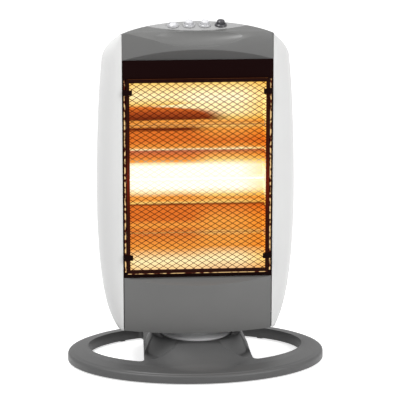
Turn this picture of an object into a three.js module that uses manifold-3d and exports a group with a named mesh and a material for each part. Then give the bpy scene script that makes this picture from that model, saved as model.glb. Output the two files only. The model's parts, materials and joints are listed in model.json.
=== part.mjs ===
// Halogen heater on an oval foot: three quartz tubes before a steel reflector, behind a diamond guard,
// in a tall housing that swivels on the hub of the foot.
// Millimetres, +Z up, front towards -Y, origin on the floor under the swivel axis.

import * as THREE from 'three';
import { mergeVertices } from 'three/addons/utils/BufferGeometryUtils.js';
import Module from 'manifold-3d';

const wasm = await Module();
wasm.setup();

// ---------------------------------------------------------------- driving dimensions

const gap = 0.3;                 // clearance between pieces that touch or sit in each other
const joinDepth = 0.5;           // how far two volumes of one moulding run into each other
const past = 5;                  // how far a cutting volume runs past what it cuts

// foot
const footHalfLength = 198;      // half the long axis of the oval
const footHalfDepth = 135;       // half the short axis
const footWall = 2.8;            // thickness of the moulding
const footLift = 2.6;            // height of the moulding's lower edge over the floor
const footSideTop = 11;          // where the outer wall starts to round over
const footEdgeRound = 4.5;       // round between the outer wall and the top of the oval
const ringRise = 4;              // how much the top climbs from its outer edge to its inner edge
const ringWidthSide = 32;        // width of the oval at its two ends
const ringWidthFront = 48;       // width of the oval in front
const ringWidthBack = 25;        // width of the oval behind
const bridgeHalfFront = 84;      // half the width of the bridge where it meets the front of the oval
const bridgeHalfBack = 76;       // and where it meets the back
const openingCorner = 9;         // corner round of the two openings beside the bridge

// hub on the bridge
const hubTop = 45;
const hubHalfWidth = 69;
const hubHalfDepth = 60;
const hubSideRamp = 15;          // length of the slope from the hub down to the oval, at the sides
const hubNearRamp = 24;          // and in front, in the two hollows
const hubFrontRamp = 66;         // length of the tongue that runs from the hub to the front of the oval
const hubBackRamp = 34;
const scoopX = 84;               // centre of the hollow on each side of the tongue
const scoopY = -50;
const scoopHalfWidth = 52;
const scoopHalfDepth = 31;
const scoopSquareness = 2.6;     // 2 would be an ellipse
const scoopSteepness = 6;
const recessRadius = 57;         // round recess that the swivel disc turns in
const recessDepth = 3.7;
const recessFloor = 3;           // thickness of the recess floor
const bossRadius = 19;           // bearing boss under the recess
const bossLength = 8;

// swivel
const discRadius = 55;
const discRimHeight = 7;
const neckRadius = 44;
const spigotRadius = 12;
const spigotBore = 8.3;
const bushWall = 2;
const bushFlange = 2;
const retainerRadius = 18;
const retainerThickness = 3;
const swingAngle = 35;           // the housing swings this many degrees to each side
const swingMargin = 9;           // more degrees of slot for the drive shaft

// oscillation drive
const driveOffset = 38;          // distance of the motor shaft from the swivel axis
const crankThrow = 21.8;         // distance of the crank pin from the motor shaft
const crankPinRadius = 2.5;
const crankThickness = 5;
const crankBossRadius = 7;
const driveShaftRadius = 3.5;
const motorRadius = 25;
const motorHeight = 20;
const driveSlotHalf = 6.6;       // half the width of the slot that holds the crank pin
const driveSlotWall = 3.4;
const driveSlotHeight = 8;

// bottom cover, feet, tip-over switch
const coverThickness = 2;
const padRadius = 8;
const padAngle = 52;             // where the four pads sit round the oval
const plungerRadius = 3;
const plungerY = 78;
const plungerTravel = 4;
const tipSwitchWidth = 22;
const tipSwitchDepth = 12;
const tipSwitchHeight = 13;

// housing
const bodyBottom = 61;
const bodyTop = 530;
const seamHalf = 113;            // half the width of the dark panels between the two side panels
const seamFrontY = -46;          // depth of the front at the seam
const frontBulge = 22;           // how far the middle of the front stands before the seam
const bodyRearY = 52;
const sideHalf = 151;            // half the greatest width of the housing
const bottomHalf = 124;          // half the width at the bottom
const widestZ = 262;
const widestY = 0;
const shoulderHalf = 141.5;
const shoulderDrop = 48;         // from the crest down to the shoulder of a side panel
const seamTopDrop = 12;          // from the crest down to the roof at the front of the seam
const roofFall = 0.18;           // how much the roof falls to the rear, as a slope
const tiltHeight = 120;          // height over which that slope grows in the side panels
const panelWall = 2.6;
const floorClear = 1;            // clearance of the floor pan inside the panels
const floorThickness = 3;
const roofFrontY = -44;          // front edge of the sloping control plate
const roofFrontDrop = 8.5;
const roofCrestY = -6;
const roofEdgeDrop = 26;         // height of the round from the roof into the front
const roofRearDrop = 36;         // and into the rear
const rearSplitY = 36;           // where the top panel and the rear panel meet

// window between the top panel and the lower panel
const windowTopDrop = 51;        // from the crest down to the window
const windowBottomRise = 83;     // from the bottom edge up to the window
const topFacetRise = 19;         // height of the flat facet over the window, at the middle
const bottomFacetDrop = 8;
const windowLip = 8;             // depth of the lip behind the facet
const bottomFlange = 14;         // depth of the lower panel's flange under the floor edge

// guard
const guardHalfWidth = 107;
const sillHeight = 8;
const baffleHeight = 29;
const guardThickness = 1.2;
const guardStrand = 1.6;
const guardColumns = 6;
const guardRows = 10;
const guardY = -50;              // back face of the guard mesh
const rodSize = 4.5;             // square of the guard frame's bars
const rodInset = 2;              // from the mesh's edge to the guard frame
const clipWidth = 9;
const clipHeight = 8;
const clipThickness = 1.5;
const clipLegWidth = 3.5;
const clipInsetLow = 25;         // from the guard's lower edge to the middle of a clip
const clipInsetHigh = 19;

// surround, reflector and tubes
const surroundY = -46;
const surroundThickness = 1.6;
const surroundOpeningHalf = 108;
const sheet = 1;                 // thickness of the reflector
const reflectorHalf = 104;
const ridgeY = -8;
const troughDepth = 32;
const troughCount = 3;
const troughInsetLow = 16;       // from the guard's lower edge to the lowest trough
const troughInsetHigh = 30;
const tubeY = -12;
const tubeDrop = 5;              // how far a tube sits below the middle of its trough
const tubeRadius = 5;
const tubeWall = 1;
const filamentRadius = 1.1;
const capRadius = 5.6;
const capLength = 19;
const tubeHoleClear = 0.5;

// controls
const controlHalf = 78;          // half the length of the almond-shaped control plate
const controlDepth = 34;         // its width along the slope, at the middle
const controlThickness = 1.6;
const controlLedge = 2.5;
const buttonCount = 4;
const buttonSpacing = 23.8;
const buttonRadius = 6;
const buttonRaised = 8.6;        // height of a raised button over the plate
const buttonTravel = 5.5;
const latchedButton = 0;         // the first button is pushed in and held
const bezelRadius = 9.25;
const bezelHeight = 3;
const bezelStub = 7.6;
const stemLength = 8;
const switchWidth = 15;
const switchDepth = 17;
const switchHeight = 18;
const browHollowX = 80;          // half the length of the hollow below the control plate
const browHollowY = 22;
const browHollowZ = 21;
const browHollowRise = 2;        // middle of the hollow over the front edge of the plate

// rear
const slotWidth = 4;
const slotLength = 66;
const slotPitch = 9;
const slotMiddleX = 39.6;        // middle of a slot from the middle of the panel
const lowerSlotRise = 49;        // from the bottom edge up to the lowest slot
const lowerSlotRows = 11;
const upperSlotDrop = 111;       // from the grip down to the upper slots
const upperSlotRows = 10;
const gripHalf = 45;
const gripHeight = 29;
const gripDepth = 21;
const gripDrop = 99;             // from the crest down to the grip's lower edge
const glandX = -80;
const glandRise = 23;            // from the bottom edge up to the middle of the gland
const glandRadius = 7;
const glandBore = 4;
const glandFlange = 10;
const glandFlangeHeight = 3;
const glandLength = 12;

// heights that follow from the housing
const shoulderZ = bodyTop - shoulderDrop;
const seamTopZ = bodyTop - seamTopDrop;
const roofFrontZ = bodyTop - roofFrontDrop;
const windowTop = bodyTop - windowTopDrop;
const windowBottom = bodyBottom + windowBottomRise;
const guardBottom = windowBottom + sillHeight;
const guardTop = windowTop - baffleHeight;
const clipZ = [guardBottom + clipInsetLow, guardTop - clipInsetHigh];
const troughBottomZ = guardBottom + troughInsetLow;
const troughPitch = (guardTop - troughInsetHigh - troughBottomZ) / troughCount;
const gripZ = bodyTop - gripDrop;
const glandZ = bodyBottom + glandRise;

// ---------------------------------------------------------------- geometry helpers

const degrees = Math.PI / 180;
const mix = THREE.MathUtils.lerp;

function toSolid(geometry) {
  geometry.deleteAttribute('normal');
  geometry.deleteAttribute('uv');
  const merged = mergeVertices(geometry, 1e-4);
  return new wasm.Manifold(new wasm.Mesh({
    numProp: 3,
    vertProperties: new Float32Array(merged.attributes.position.array),
    triVerts: new Uint32Array(merged.index.array),
  }));
}

function toGeometry(solid) {
  const mesh = solid.getMesh();
  const geometry = new THREE.BufferGeometry();
  geometry.setAttribute('position', new THREE.BufferAttribute(new Float32Array(mesh.vertProperties), 3));
  geometry.setIndex(new THREE.BufferAttribute(new Uint32Array(mesh.triVerts), 1));
  geometry.computeVertexNormals();
  return geometry;
}

function block(x0, x1, y0, y1, z0, z1) {
  const geometry = new THREE.BoxGeometry(x1 - x0, y1 - y0, z1 - z0);
  return toSolid(geometry.translate((x0 + x1) / 2, (y0 + y1) / 2, (z0 + z1) / 2));
}

function shapeOf(points) {
  return new THREE.Shape(points.map(([u, v]) => new THREE.Vector2(u, v)));
}

function circle(u, v, radius, steps = 24) {
  return Array.from({ length: steps }, (_, i) => [
    u + radius * Math.cos((i / steps) * 2 * Math.PI),
    v + radius * Math.sin((i / steps) * 2 * Math.PI)]);
}

// Closed outline in plan (x, y), pulled up from z0 to z1.
function upright(shape, z0, z1, curveSegments = 12) {
  const geometry = new THREE.ExtrudeGeometry(shape, { depth: z1 - z0, bevelEnabled: false, curveSegments });
  return toSolid(geometry.translate(0, 0, z0));
}

// Closed outline seen from the side (y, z), pulled along x.
function sideways(shape, x0, x1, curveSegments = 12) {
  const geometry = new THREE.ExtrudeGeometry(shape, { depth: x1 - x0, bevelEnabled: false, curveSegments });
  const basis = new THREE.Matrix4().makeBasis(
    new THREE.Vector3(0, 1, 0), new THREE.Vector3(0, 0, 1), new THREE.Vector3(1, 0, 0));
  return toSolid(geometry.applyMatrix4(basis).translate(x0, 0, 0));
}

// Closed outline seen from the front (x, z), pulled along y.
function lengthways(shape, y0, y1, curveSegments = 12) {
  const geometry = new THREE.ExtrudeGeometry(shape, { depth: y1 - y0, bevelEnabled: false, curveSegments });
  const basis = new THREE.Matrix4().makeBasis(
    new THREE.Vector3(1, 0, 0), new THREE.Vector3(0, 0, 1), new THREE.Vector3(0, -1, 0));
  return toSolid(geometry.applyMatrix4(basis).translate(0, y1, 0));
}

// Profile of radius and height, turned about +Z.
function turned(profile, segments = 24) {
  const points = profile.map(([radius, height]) => new THREE.Vector2(radius, height));
  const geometry = new THREE.LatheGeometry([...points, points[0].clone()], segments);
  return toSolid(geometry.rotateX(Math.PI / 2));
}

function disc(radius, z0, z1, segments = 24) {
  return turned([[0, z0], [radius, z0], [radius, z1], [0, z1]], segments);
}

function pipe(inner, outer, z0, z1, segments = 24) {
  return turned([[inner, z0], [outer, z0], [outer, z1], [inner, z1]], segments);
}

// Rings with the same number of points, skinned into one closed volume.
function loft(rings) {
  const count = rings[0].length;
  const positions = rings.flat(2);
  const indices = [];
  for (let ring = 0; ring + 1 < rings.length; ring += 1) {
    for (let i = 0; i < count; i += 1) {
      const a = ring * count + i;
      const b = ring * count + ((i + 1) % count);
      indices.push(a, b, b + count, a, b + count, a + count);
    }
  }
  const addCap = (ring, flip) => {
    const centre = [0, 1, 2].map((k) => rings[ring].reduce((sum, point) => sum + point[k], 0) / count);
    const tip = positions.length / 3;
    positions.push(...centre);
    for (let i = 0; i < count; i += 1) {
      const a = ring * count + i;
      const b = ring * count + ((i + 1) % count);
      indices.push(...(flip ? [b, a, tip] : [a, b, tip]));
    }
  };
  addCap(0, true);
  addCap(rings.length - 1, false);
  const geometry = new THREE.BufferGeometry();
  geometry.setAttribute('position', new THREE.Float32BufferAttribute(positions, 3));
  geometry.setIndex(indices);
  return toSolid(geometry);
}

// An open line of points, moved to its left by a distance.
function offsetLine(points, distance) {
  return points.map(([x, y], i) => {
    const before = points[Math.max(i - 1, 0)];
    const after = points[Math.min(i + 1, points.length - 1)];
    const along = [after[0] - before[0], after[1] - before[1]];
    const size = Math.hypot(...along);
    return [x - (along[1] / size) * distance, y + (along[0] / size) * distance];
  });
}

function bezier(points, steps) {
  const [a, b, c, d] = points.map(([u, v]) => new THREE.Vector2(u, v));
  return new THREE.CubicBezierCurve(a, b, c, d).getPoints(steps).map((point) => [point.x, point.y]);
}

const group = new THREE.Group();

function finish(color, roughness, metalness) {
  return { color, roughness, metalness };
}

const finishes = {
  panel: finish(0x6a6a6b, 0.42, 0.1),
  foot: finish(0x646465, 0.45, 0.05),
  side: finish(0xdcdcdb, 0.35, 0.05),
  plate: finish(0x9a9a9a, 0.4, 0.2),
  black: finish(0x1c1a19, 0.6, 0.3),
  steel: finish(0xd8d4cc, 0.25, 0.95),
  chrome: finish(0xe2e2e2, 0.2, 0.8),
  quartz: finish(0xf4ead8, 0.1, 0),
  ceramic: finish(0xe8e2d6, 0.7, 0),
  filament: finish(0xffd9a0, 0.4, 0.6),
  rubber: finish(0x262626, 0.85, 0),
  motor: finish(0xb9b4a8, 0.4, 0.7),
  nylon: finish(0xe9e6dc, 0.6, 0),
};

function add(name, solid, finishName, parent = group) {
  const { color, roughness, metalness } = finishes[finishName];
  const material = new THREE.MeshStandardMaterial({ color, roughness, metalness });
  const mesh = new THREE.Mesh(toGeometry(solid), material);
  mesh.name = name;
  parent.add(mesh);
  return mesh;
}

// ---------------------------------------------------------------- foot

const footTopEdge = footSideTop + footEdgeRound;
const openingHalfLength = footHalfLength - ringWidthSide;
const openingHalfDepth = footHalfDepth - (ringWidthFront + ringWidthBack) / 2;
const openingCentreY = (ringWidthFront - ringWidthBack) / 2;
const hollowSideCount = 40;

// Height of the foot's upper skin, with the wall taken off for the hollow beneath.
function footHeight(x, y, wall) {
  const reach = Math.hypot(x / footHalfLength, y / footHalfDepth) || 1e-6;
  const inset = ((1 - reach) / reach) * Math.hypot(x, y) + footEdgeRound;
  const ringHeight = footTopEdge + ringRise * Math.min(1, inset / ringWidthSide);
  const distance = Math.hypot(x, y) || 1e-6;
  const hubReach = 1 / Math.hypot(x / distance / (hubHalfWidth - wall), y / distance / (hubHalfDepth - wall));
  const sideShare = (x / distance) ** 2;
  const fallen = (endRamp) => {
    const ramp = mix(endRamp, hubSideRamp, sideShare);
    const share = THREE.MathUtils.clamp((distance - hubReach) / ramp, 0, 1);
    return mix(hubTop, ringHeight, mix(share, THREE.MathUtils.smoothstep(share, 0, 1), 0.5));
  };
  const cone = fallen(y < 0 ? hubNearRamp : hubBackRamp);
  const tongue = fallen(y < 0 ? hubFrontRamp : hubBackRamp);
  const across = Math.abs(Math.abs(x) - scoopX) / (scoopHalfWidth + wall);
  const along = Math.abs(y - scoopY) / (scoopHalfDepth + wall);
  const scoopReach = (across ** scoopSquareness + along ** scoopSquareness) ** (1 / scoopSquareness);
  const scoop = mix(ringHeight, hubTop, Math.min(1, scoopReach) ** scoopSteepness);
  return Math.max(cone, Math.min(tongue, scoop)) - wall;
}

// The foot as one moulding without its openings: rings from the floor up and in to the hub.
function footMass(wall, segments, ringSteps) {
  const ring = (halfLength, halfDepth, height) => Array.from({ length: segments }, (_, i) => {
    const angle = (i / segments) * 2 * Math.PI;
    const x = halfLength * Math.cos(angle);
    const y = halfDepth * Math.sin(angle);
    return [x, y, height ?? footHeight(x, y, wall)];
  });
  const outerLength = footHalfLength - wall;
  const outerDepth = footHalfDepth - wall;
  const base = wall > 0 ? footLift - past : footLift;
  const rings = [ring(outerLength, outerDepth, base)];
  const roundSteps = wall > 0 ? 1 : 3;
  for (let i = 0; i <= roundSteps; i += 1) {
    const angle = (i / roundSteps) * (Math.PI / 2);
    const inset = footEdgeRound * (1 - Math.cos(angle));
    rings.push(ring(outerLength - inset, outerDepth - inset,
      footSideTop - wall + footEdgeRound * Math.sin(angle)));
  }
  for (let i = 1; i <= ringSteps; i += 1) {
    const share = i / ringSteps;
    const narrow = share ** 0.8;
    const halfLength = mix(outerLength - footEdgeRound, hubHalfWidth - 4, narrow);
    const halfDepth = mix(outerDepth - footEdgeRound, hubHalfDepth - 4, share);
    rings.push(ring(halfLength, halfDepth));
  }
  return loft(rings);
}

// One of the two openings beside the bridge, grown by a distance.
function openingShape(side, grow) {
  const halfLength = openingHalfLength + grow;
  const halfDepth = openingHalfDepth + grow;
  const corner = openingCorner;
  const bridgeAt = (y) => THREE.MathUtils.mapLinear(y, openingCentreY - openingHalfDepth,
    openingCentreY + openingHalfDepth, bridgeHalfFront, bridgeHalfBack) - grow;
  const angleAt = (x) => Math.acos(x / halfLength);
  const frontAngle = angleAt(bridgeHalfFront - grow + corner);
  const backAngle = angleAt(bridgeHalfBack - grow + corner);
  const steps = 22;
  const arc = Array.from({ length: steps + 1 }, (_, i) => {
    const angle = mix(-frontAngle, backAngle, i / steps);
    return [halfLength * Math.cos(angle), openingCentreY + halfDepth * Math.sin(angle)];
  });
  const shape = new THREE.Shape();
  shape.moveTo(...arc[0]);
  arc.slice(1).forEach((point) => shape.lineTo(...point));
  const backY = openingCentreY + halfDepth * Math.sin(backAngle);
  const frontY = openingCentreY - halfDepth * Math.sin(frontAngle);
  shape.quadraticCurveTo(bridgeAt(backY), backY + corner / 4, bridgeAt(backY - corner), backY - corner);
  shape.lineTo(bridgeAt(frontY + corner), frontY + corner);
  shape.quadraticCurveTo(bridgeAt(frontY), frontY - corner / 4, ...arc[0]);
  if (side > 0) return shape;
  return shapeOf(shape.getPoints(4).map((point) => [-point.x, point.y]).reverse());
}

function openings(grow, z0, z1) {
  return upright(openingShape(1, grow), z0, z1, 4).add(upright(openingShape(-1, grow), z0, z1, 4));
}

// Part of a ring seen from above, centred on the direction of -Y.
function arcSlot(radius, half, z0, z1) {
  const reach = (swingAngle + swingMargin) * degrees;
  const steps = 14;
  const edge = (r, sign) => Array.from({ length: steps + 1 }, (_, i) => {
    const angle = sign * mix(-reach, reach, i / steps) - Math.PI / 2;
    return [r * Math.cos(angle), r * Math.sin(angle)];
  });
  return upright(shapeOf([...edge(radius + half, 1), ...edge(radius - half, -1)]), z0, z1);
}

const recessBase = hubTop - recessDepth;
const recessUnderside = recessBase - recessFloor;
const bossBottom = recessUnderside - bossLength;
const bushRadius = spigotRadius + gap + bushWall;
const driveSlotClear = driveShaftRadius + 2;
const coverTop = footLift + coverThickness;
const padX = (footHalfLength - ringWidthSide / 2) * Math.cos(padAngle * degrees);

// Middle of the oval's width at the pads, in front (end -1) or behind (end +1).
function padY(end) {
  const outer = footHalfDepth * Math.sqrt(1 - (padX / footHalfLength) ** 2);
  const inner = openingHalfDepth * Math.sqrt(1 - (padX / openingHalfLength) ** 2);
  return (end * (outer + inner) + openingCentreY) / 2;
}

function footShell() {
  const ceiling = block(-footHalfLength, footHalfLength, -footHalfDepth, footHalfDepth,
    footLift - past, recessUnderside);
  const hollow = footMass(footWall, hollowSideCount, 6).intersect(ceiling).subtract(openings(footWall, -past, hubTop));
  return footMass(0, 72, 12)
    .subtract(openings(0, -past, hubTop + past))
    .subtract(hollow)
    .subtract(disc(recessRadius, recessBase, hubTop + past, 48))
    .add(disc(bossRadius, bossBottom, recessUnderside + joinDepth))
    .subtract(disc(bushRadius + gap, bossBottom - past, hubTop))
    .subtract(arcSlot(driveOffset, driveSlotClear, recessUnderside - past, hubTop));
}

function footCover() {
  const inset = footWall + gap;
  const plan = circle(0, 0, 1, hollowSideCount)
    .map(([x, y]) => [x * (footHalfLength - inset), y * (footHalfDepth - inset)]);
  return upright(shapeOf(plan), footLift, coverTop)
    .subtract(openings(footWall + gap, -past, coverTop + past))
    .subtract(disc(plungerRadius + gap, -past, coverTop + past, 16).translate([0, plungerY, 0]));
}

add('foot_shell', footShell(), 'foot');
add('foot_cover', footCover(), 'black');

for (const [sideName, side] of [['left', -1], ['right', 1]]) {
  for (const [endName, end] of [['front', -1], ['rear', 1]]) {
    const pad = add(`foot_pad_${endName}_${sideName}`, disc(padRadius, 0, footLift - gap, 20), 'rubber');
    pad.position.set(side * padX, padY(end), 0);
  }
}

// ---------------------------------------------------------------- swivel

const bushTop = recessBase - gap;
const discBottom = recessBase + gap;
const discTop = discBottom + discRimHeight;
const neckTop = bodyBottom + gap;
const spigotBottom = bossBottom - bushFlange - gap;
const retainerTop = spigotBottom - gap;

const hubPieces = new THREE.Group();
group.add(hubPieces);

add('bearing_bush', turned([
  [spigotRadius + gap, bossBottom - bushFlange],
  [bossRadius, bossBottom - bushFlange],
  [bossRadius, bossBottom - gap],
  [bushRadius, bossBottom - gap],
  [bushRadius, bushTop],
  [spigotRadius + gap, bushTop],
]), 'nylon', hubPieces);

const dishFall = 2;
const swivelDisc = turned([
  [spigotBore, spigotBottom],
  [spigotRadius, spigotBottom],
  [spigotRadius, discBottom],
  [discRadius, discBottom],
  [discRadius, discTop - dishFall],
  [discRadius - dishFall, discTop],
  [neckRadius, discTop + dishFall],
  [neckRadius, neckTop],
  [spigotBore, neckTop],
], 36).subtract(disc(driveShaftRadius + gap, discBottom - past, neckTop + past, 16)
  .translate([0, -driveOffset, 0]));
add('swivel_disc', swivelDisc, 'panel', hubPieces);

add('spigot_retainer', turned([
  [spigotBore / 2, retainerTop - retainerThickness],
  [retainerRadius, retainerTop - retainerThickness],
  [retainerRadius, retainerTop],
  [spigotBore - gap, retainerTop],
  [spigotBore - gap, retainerTop + bossLength],
  [spigotBore / 2, retainerTop + bossLength],
]), 'nylon', hubPieces);

// ---------------------------------------------------------------- oscillation drive

const floorBottom = bodyBottom + 2 * gap;
const floorTop = floorBottom + floorThickness;
const crankTop = retainerTop - retainerThickness + crankThickness;
const crankBottom = crankTop - crankThickness;
const driveSlotTop = coverTop + gap + driveSlotHeight;
const motorBottom = floorTop + gap;

// Fork on the bottom cover: its slot holds the crank pin, which swings the housing as it goes round.
function driveFork() {
  const outer = driveSlotHalf + driveSlotWall;
  const nearY = -(driveOffset - crankThrow * 0.6);
  const slotEnd = -(driveOffset + crankThrow + crankPinRadius + 1);
  return block(-outer, outer, slotEnd - driveSlotWall, nearY, coverTop + gap, driveSlotTop)
    .subtract(block(-driveSlotHalf, driveSlotHalf, slotEnd, nearY + past, coverTop + 2, driveSlotTop + past));
}

function crankArm() {
  const web = block(-crankBossRadius + 2, crankBossRadius - 2, -crankThrow, 0, crankBottom, crankTop);
  const pinHead = disc(crankBossRadius - 2, crankBottom, crankTop, 20).translate([0, -crankThrow, 0]);
  const pin = disc(crankPinRadius, coverTop + 2 + 2 * gap, crankBottom + joinDepth, 16)
    .translate([0, -crankThrow, 0]);
  return web.add(pinHead).add(pin)
    .add(disc(crankBossRadius, crankBottom, crankTop, 24))
    .add(disc(driveShaftRadius, crankTop - joinDepth, motorBottom - gap, 20));
}

add('drive_fork', driveFork(), 'nylon', hubPieces);
const drive = new THREE.Group();
drive.position.set(0, -driveOffset, 0);
group.add(drive);
add('crank', crankArm(), 'steel', drive);
add('swing_motor', disc(motorRadius, motorBottom, motorBottom + motorHeight, 36), 'motor', drive);

// ---------------------------------------------------------------- tip-over switch

const tipSwitchBottom = coverTop + gap;
add('tip_switch', block(-tipSwitchWidth / 2, tipSwitchWidth / 2, plungerY - tipSwitchDepth / 2,
  plungerY + tipSwitchDepth / 2, tipSwitchBottom, tipSwitchBottom + tipSwitchHeight)
  .subtract(disc(plungerRadius + gap, -past, tipSwitchBottom + tipSwitchHeight - 2, 16)
    .translate([0, plungerY, 0])), 'black', hubPieces);
add('tip_plunger', turned([
  [0, 0.1],
  [plungerRadius - 1, 0.1],
  [plungerRadius, 1.1],
  [plungerRadius, tipSwitchBottom + tipSwitchHeight - 2 - gap],
  [0, tipSwitchBottom + tipSwitchHeight - 2 - gap],
], 16), 'nylon', hubPieces).position.set(0, plungerY, 0);

// ---------------------------------------------------------------- housing skin

const rearHalf = seamHalf + gap / 2;
const flankCurve = bezier([[bottomHalf, bodyBottom],
  [mix(bottomHalf, sideHalf, 0.81), mix(bodyBottom, widestZ, 0.15)],
  [sideHalf, mix(bodyBottom, widestZ, 0.64)], [sideHalf, widestZ]], 6);
const upperCurve = bezier([[sideHalf, widestZ], [sideHalf, mix(widestZ, shoulderZ, 0.36)],
  [mix(shoulderHalf, sideHalf, 0.5), mix(widestZ, shoulderZ, 0.78)],
  [shoulderHalf, shoulderZ]], 4).slice(1);
const shoulderCurve = bezier([[shoulderHalf, shoulderZ],
  [mix(shoulderHalf, seamHalf, 0.07), mix(shoulderZ, seamTopZ, 0.42)],
  [mix(shoulderHalf, seamHalf, 0.42), mix(shoulderZ, seamTopZ, 0.72)],
  [seamHalf + 1, seamTopZ]], 5).slice(1);
const sideOutline = [...flankCurve, ...upperCurve, ...shoulderCurve];

// How far the roof has fallen at a depth, counted from the front of the seam.
const fallAt = (y) => roofFall * (y - seamFrontY);

// Plan of one side panel at a given half width, from the front seam round to the rear seam.
function sidePlan(halfWidth, wall) {
  const reach = (x) => rearHalf + ((x - rearHalf) * (halfWidth - rearHalf)) / (sideHalf - rearHalf);
  const front = bezier([[rearHalf, seamFrontY],
    [mix(rearHalf, sideHalf, 0.5), mix(seamFrontY, widestY, 0.07)],
    [mix(rearHalf, sideHalf, 0.92), mix(seamFrontY, widestY, 0.41)], [sideHalf, widestY]], 6);
  const rear = bezier([[sideHalf, widestY], [sideHalf, mix(widestY, bodyRearY, 0.5)],
    [mix(rearHalf, sideHalf, 0.74), bodyRearY], [rearHalf, bodyRearY]], 4).slice(1);
  const line = [...front, ...rear].map(([x, y]) => [reach(x), y]);
  return wall > 0 ? offsetLine(line, wall) : line;
}

// Side panel volume on +X. The hollow one has its wall taken off and runs past the seam.
function sideMass(wall) {
  const rings = sideOutline
    .filter(([halfWidth]) => halfWidth - rearHalf > wall * 1.6)
    .map(([halfWidth, z]) => {
      const tilt = THREE.MathUtils.smoothstep(z, seamTopZ - tiltHeight, seamTopZ);
      const line = sidePlan(halfWidth, wall).map(([x, y]) => [x, y, z - tilt * (fallAt(y) + wall / 2)]);
      if (wall === 0) return line;
      const inner = rearHalf - past;
      return [[inner, line[0][1], line[0][2]], ...line, [inner, line.at(-1)[1], line.at(-1)[2]]];
    });
  if (wall > 0) rings.unshift(rings[0].map(([x, y, z]) => [x, y, z - past]));
  return loft(rings);
}

// Side view of the housing's top: the sloping control seat in front, round into the rear wall.
function topProfile(wall) {
  const front = seamFrontY - frontBulge - 1;
  const rear = bodyRearY + 1;
  const frontRound = bezier([[front, roofFrontZ - roofEdgeDrop],
    [mix(front, roofFrontY, 0.12), roofFrontZ - roofEdgeDrop * 0.46],
    [mix(front, roofFrontY, 0.52), roofFrontZ - roofEdgeDrop * 0.12], [roofFrontY, roofFrontZ]], 6);
  const crest = bezier([[roofFrontY, roofFrontZ],
    [mix(roofFrontY, roofCrestY, 0.34), mix(roofFrontZ, bodyTop, 0.4)],
    [mix(roofFrontY, roofCrestY, 0.7), bodyTop], [roofCrestY, bodyTop]], 4).slice(1);
  const rearRound = bezier([[roofCrestY, bodyTop],
    [mix(roofCrestY, rear, 0.4), bodyTop - roofRearDrop * 0.06],
    [rear, bodyTop - roofRearDrop * 0.33], [rear, bodyTop - roofRearDrop]], 8).slice(1);
  const line = offsetLine([...frontRound, ...crest, ...rearRound], -wall);
  return shapeOf([[front + wall, bodyBottom - past], ...line, [line.at(-1)[0], bodyBottom - past]].reverse());
}

// Front view of the roof between the seams, where the seam begins.
function roofOutline(half, wall) {
  const crown = bodyTop + fallAt(roofCrestY);
  const roof = bezier([[-seamHalf, seamTopZ], [-seamHalf * 0.85, mix(seamTopZ, crown, 0.42)],
    [-seamHalf * 0.53, crown], [0, crown]], 9).map(([x, z]) => [x, z - wall]);
  const mirrored = roof.slice(0, -1).map(([x, z]) => [-x, z]).reverse();
  const line = [...roof, ...mirrored];
  const low = bodyBottom - bodyRearY;
  return shapeOf([[-half, low], [-half, seamTopZ - wall], ...line,
    [half, seamTopZ - wall], [half, low]].reverse());
}

// Plan of the middle of the housing: the bulged front and the flat rear.
function middlePlan(half, wall) {
  const radius = (seamHalf ** 2 + frontBulge ** 2) / (2 * frontBulge);
  const centreY = seamFrontY - frontBulge + radius;
  const steps = 14;
  const arc = Array.from({ length: steps + 1 }, (_, i) => {
    const x = mix(-half, half, i / steps);
    return [x, centreY - Math.sqrt(radius ** 2 - x ** 2) + wall];
  });
  return shapeOf([...arc, [half, bodyRearY - wall], [-half, bodyRearY - wall]]);
}

// Middle of the housing between the seams. The hollow one runs past both seams.
function middleMass(wall) {
  const half = wall > 0 ? seamHalf + past : seamHalf - gap / 2;
  const low = bodyBottom - (wall > 0 ? past : 0);
  const roof = lengthways(roofOutline(half, wall), seamFrontY - frontBulge - past, bodyRearY + past)
    .warp((point) => {
      point[2] -= fallAt(point[1]);
    });
  return roof
    .intersect(upright(middlePlan(half, wall), low, bodyTop + past))
    .intersect(sideways(topProfile(wall), -half - past, half + past));
}

const middleOuter = middleMass(0);
const middleInner = middleMass(panelWall);

function sidePanel() {
  return sideMass(0)
    .intersect(sideways(topProfile(0), 0, sideHalf + past))
    .subtract(sideMass(panelWall).intersect(sideways(topProfile(panelWall), 0, sideHalf + past)));
}

const rightSide = sidePanel();
add('side_panel_right', rightSide, 'side');
add('side_panel_left', rightSide.mirror([1, 0, 0]), 'side');

// ---------------------------------------------------------------- front panels

const bulgeY = seamFrontY - frontBulge;
const farY = bulgeY - past;
const topFacetSlope = topFacetRise / frontBulge;
const bottomFacetSlope = bottomFacetDrop / frontBulge;
const lipEnd = seamFrontY + windowLip;
const flangeEnd = bulgeY + bottomFlange;

// Everything of the middle above the window; lift moves the cut up for the hollow.
function aboveWindow(lift, rearY) {
  const floor = lift > 0 ? [[lipEnd, windowTop + lift], [lipEnd, windowTop - past], [rearY, windowTop - past]]
    : [[rearY, windowTop]];
  return sideways(shapeOf([[farY, windowTop + lift + topFacetSlope * (seamFrontY - farY)],
    [seamFrontY, windowTop + lift], ...floor, [rearY, bodyTop + past], [farY, bodyTop + past]]),
  -seamHalf - 2 * past, seamHalf + 2 * past);
}

function belowWindow(drop) {
  const roof = windowBottom - drop;
  const back = drop > 0 ? [[flangeEnd, bodyBottom + drop], [flangeEnd, bodyBottom - past],
    [lipEnd + past, bodyBottom - past], [lipEnd + past, windowBottom + past],
    [lipEnd, windowBottom + past], [lipEnd, roof]] : [[lipEnd, bodyBottom], [lipEnd, roof]];
  return sideways(shapeOf([[farY, bodyBottom + drop], ...back, [seamFrontY, roof],
    [farY, roof - bottomFacetSlope * (seamFrontY - farY)]]),
  -seamHalf - 2 * past, seamHalf + 2 * past);
}

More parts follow.
